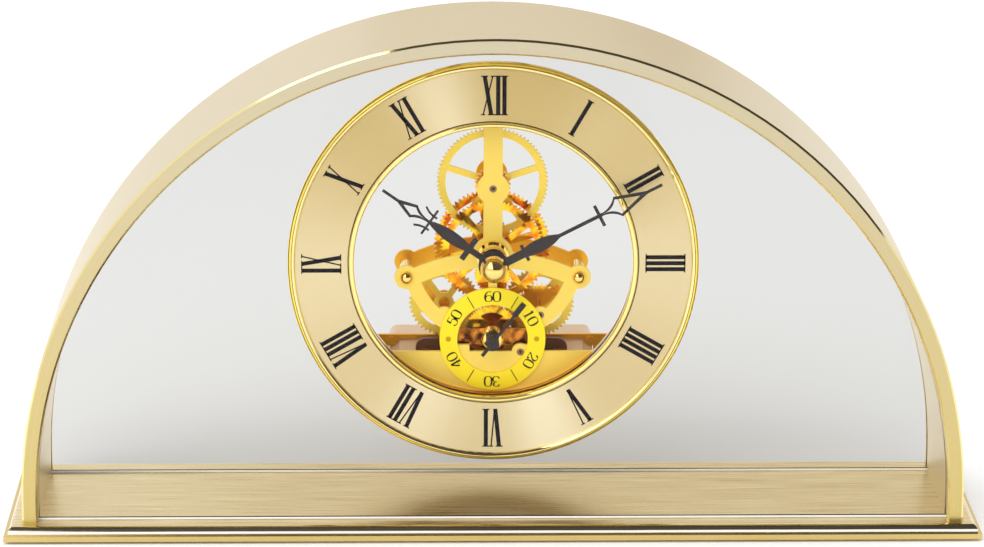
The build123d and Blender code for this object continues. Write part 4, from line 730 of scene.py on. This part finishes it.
def smooth_line(points):
    """Points read along a soft curve that has these points as its controls."""
    curve = bpy.data.curves.new("pen_line", "CURVE")
    curve.dimensions = "3D"
    curve.resolution_u = PEN_STEPS
    spline = curve.splines.new("NURBS")
    spline.points.add(len(points) - 1)
    for control, (x, z) in zip(spline.points, points):
        control.co = (x, 0, z, 1)
    spline.order_u = PEN_ORDER
    spline.use_endpoint_u = True
    holder = bpy.data.objects.new("pen_line", curve)
    bpy.context.scene.collection.objects.link(holder)
    bpy.context.view_layer.update()
    mesh = bpy.data.meshes.new_from_object(holder.evaluated_get(bpy.context.evaluated_depsgraph_get()))
    line = [vertex.co.copy() for vertex in mesh.vertices]
    bpy.data.objects.remove(holder)
    bpy.data.curves.remove(curve)
    bpy.data.meshes.remove(mesh)
    return line


def pen_stroke(points):
    """A ribbon along a pen line, as wide as its direction asks."""
    line = smooth_line([(x * FIGURE_BREADTH, z) for x, z in points])
    corners = []
    for i, point in enumerate(line):
        ahead = line[min(i + 1, len(line) - 1)] - line[max(i - 1, 0)]
        run = max(hypot(ahead.x, ahead.z), LEAST_RUN)
        width = (FIGURE_THIN + (FIGURE_THICK - FIGURE_THIN) * abs(ahead.z / run) ** 2) / FIGURE_HEIGHT
        side = Vector((-ahead.z / run, 0, ahead.x / run)) * width / 2
        corners += [point - side, point + side]
    faces = [(i, i + 1, i + 3, i + 2) for i in range(0, len(corners) - 2, 2)]
    mesh = bpy.data.meshes.new("pen_stroke")
    mesh.from_pydata(corners, [], faces)
    ribbon = bpy.data.objects.new("pen_stroke", mesh)
    bpy.context.scene.collection.objects.link(ribbon)
    return ribbon


def seconds_figures():
    for second in FIGURES:
        strokes = []
        for place, digit in enumerate(str(second)):
            for points in FIGURE_LINES[digit]:
                ribbon = pen_stroke(points)
                settle(ribbon, Matrix.Translation(((place - FIGURE_MIDDLE) * FIGURE_ADVANCE, 0, 0)))
                strokes.append(ribbon)
        figure = join(strokes, f"seconds_{second}")
        settle(figure, Matrix.Translation((0, 0, FIGURE_FOOT)) @ Matrix.Scale(FIGURE_HEIGHT, 4))
        raise_film(figure, subdial_face)
        turn_to(figure, seconds_centre, SECOND_ANGLE * second)
        finish_piece(figure, ink)
    for second in TICKS:
        tick = stroke(0, 0, TICK_WIDTH, TICK_START, TICK_END)
        tick.name = f"seconds_tick_{second}"
        raise_film(tick, subdial_face)
        turn_to(tick, seconds_centre, SECOND_ANGLE * second)
        finish_piece(tick, ink)


# Milky sealant along the foot of each pane, on its front
BEAD_WIDTH = 0.4 * MM
BEAD_HEIGHT = 0.62 * MM
BEAD_GAP = 0.03 * MM
BEAD_END_GAP = 1 * MM
BEAD_ROUND = BEAD_WIDTH / 3
BEAD_SEGMENTS = 3


def sealant_bead(pane, name):
    low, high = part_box(pane)
    deselect()
    bpy.ops.mesh.primitive_cube_add(size=1)
    bead = bpy.context.object
    bead.scale = (high.x - low.x - 2 * BEAD_END_GAP, BEAD_WIDTH, BEAD_HEIGHT)
    bead.location = (0, low.y - BEAD_GAP - BEAD_WIDTH / 2, plinth_top + BEAD_GAP + BEAD_HEIGHT / 2)
    bpy.ops.object.transform_apply()
    edge = bead.modifiers.new("round", "BEVEL")
    edge.width = BEAD_ROUND
    edge.segments = BEAD_SEGMENTS
    bpy.ops.object.modifier_apply(modifier=edge.name)
    bead.name = name
    finish_piece(bead, sealant)


# Studio
FLOOR_SIZE = 8.0
ROOM_LEVEL = 1.0
SEEN_THROUGH_GLASS = 0.7
# A depth of reflection or of bounces is a whole number, so this tells none from one
ANY_BOUNCE = 0.5


def white_room():
    """A plain white surround that lights the clock evenly and shows white behind it."""
    world = bpy.data.worlds.new("white_room")
    bpy.context.scene.world = world
    world.use_nodes = True
    tree = world.node_tree
    tree.nodes.clear()
    back = add_node(tree, "ShaderNodeBackground", {"Color": linear("#ffffff"), "Strength": ROOM_LEVEL})
    add_node(tree, "ShaderNodeOutputWorld", {"Surface": back})


def floor():
    """A matt white table top, a little greyer where it is seen straight through the panes."""
    deselect()
    bpy.ops.mesh.primitive_plane_add(size=FLOOR_SIZE)
    plane = bpy.context.object
    plane.name = "table_top"
    material, tree = new_material("white_table")
    path = add_node(tree, "ShaderNodeLightPath")
    bounces = add_node(tree, "ShaderNodeMath", operation="ADD", inputs={
        0: path.outputs["Glossy Depth"], 1: path.outputs["Diffuse Depth"]})
    straight = add_node(tree, "ShaderNodeMath", {0: bounces, 1: ANY_BOUNCE}, operation="LESS_THAN")
    through = add_node(tree, "ShaderNodeMath", operation="MULTIPLY", inputs={
        0: path.outputs["Is Transmission Ray"], 1: straight})
    level = add_node(tree, "ShaderNodeMapRange", {
        "Value": through, "To Min": 1.0, "To Max": SEEN_THROUGH_GLASS})
    white = add_node(tree, "ShaderNodeCombineColor", {"Red": level, "Green": level, "Blue": level})
    add_surface(tree, {"Base Color": white, "Roughness": 0.8, "Specular IOR Level": 0.0})
    plane.data.materials.append(material)


def flag(name, place, aim, width, height, shade):
    """A board that only shows where the clock mirrors it: it throws no light and no shadow."""
    deselect()
    bpy.ops.mesh.primitive_plane_add(size=1)
    board = bpy.context.object
    board.name = name
    facing = (Vector(aim) - Vector(place)).to_track_quat("Z", "Y").to_matrix().to_4x4()
    settle(board, Matrix.Translation(place) @ facing @ Matrix.Diagonal((width, height, 1, 1)))
    board.visible_diffuse = False
    board.visible_shadow = False
    board.visible_camera = False
    material, tree = new_material(f"{name}_cloth")
    path = add_node(tree, "ShaderNodeLightPath")
    mirrored = add_node(tree, "ShaderNodeMath", operation="GREATER_THAN", inputs={
        0: path.outputs["Glossy Depth"], 1: ANY_BOUNCE})
    clear = add_node(tree, "ShaderNodeBsdfTransparent")
    glow = add_node(tree, "ShaderNodeEmission", {"Color": linear(shade)})
    both = add_node(tree, "ShaderNodeMixShader", {0: mirrored, 1: clear, 2: glow})
    add_node(tree, "ShaderNodeOutputMaterial", {"Surface": both})
    board.data.materials.append(material)


def lamp(name, place, aim, size, power):
    data = bpy.data.lights.new(name, "AREA")
    data.energy = power
    data.size = size
    light = bpy.data.objects.new(name, data)
    bpy.context.scene.collection.objects.link(light)
    facing = (Vector(place) - Vector(aim)).to_track_quat("Z", "Y").to_matrix().to_4x4()
    light.matrix_world = Matrix.Translation(place) @ facing


hour_numerals()
seconds_figures()
sealant_bead("front_pane", "front_pane_bead")
sealant_bead("rear_pane", "rear_pane_bead")
add_camera()
white_room()
floor()
flag("dark_room", place=(1.27, -0.875, 0.835), aim=(1.27, -0.576, -0.118), width=3.1, height=2.78,
     shade="#4a4643")
flag("warm_board", place=(0.085, 1.0, 0.17), aim=(0.085, 0, 0.17), width=0.43, height=0.33, shade="#c8b593")
lamp("key_window", place=(-0.6, -1.0, 1.3), aim=(0, 0, 0.08), size=1.6, power=14.0)
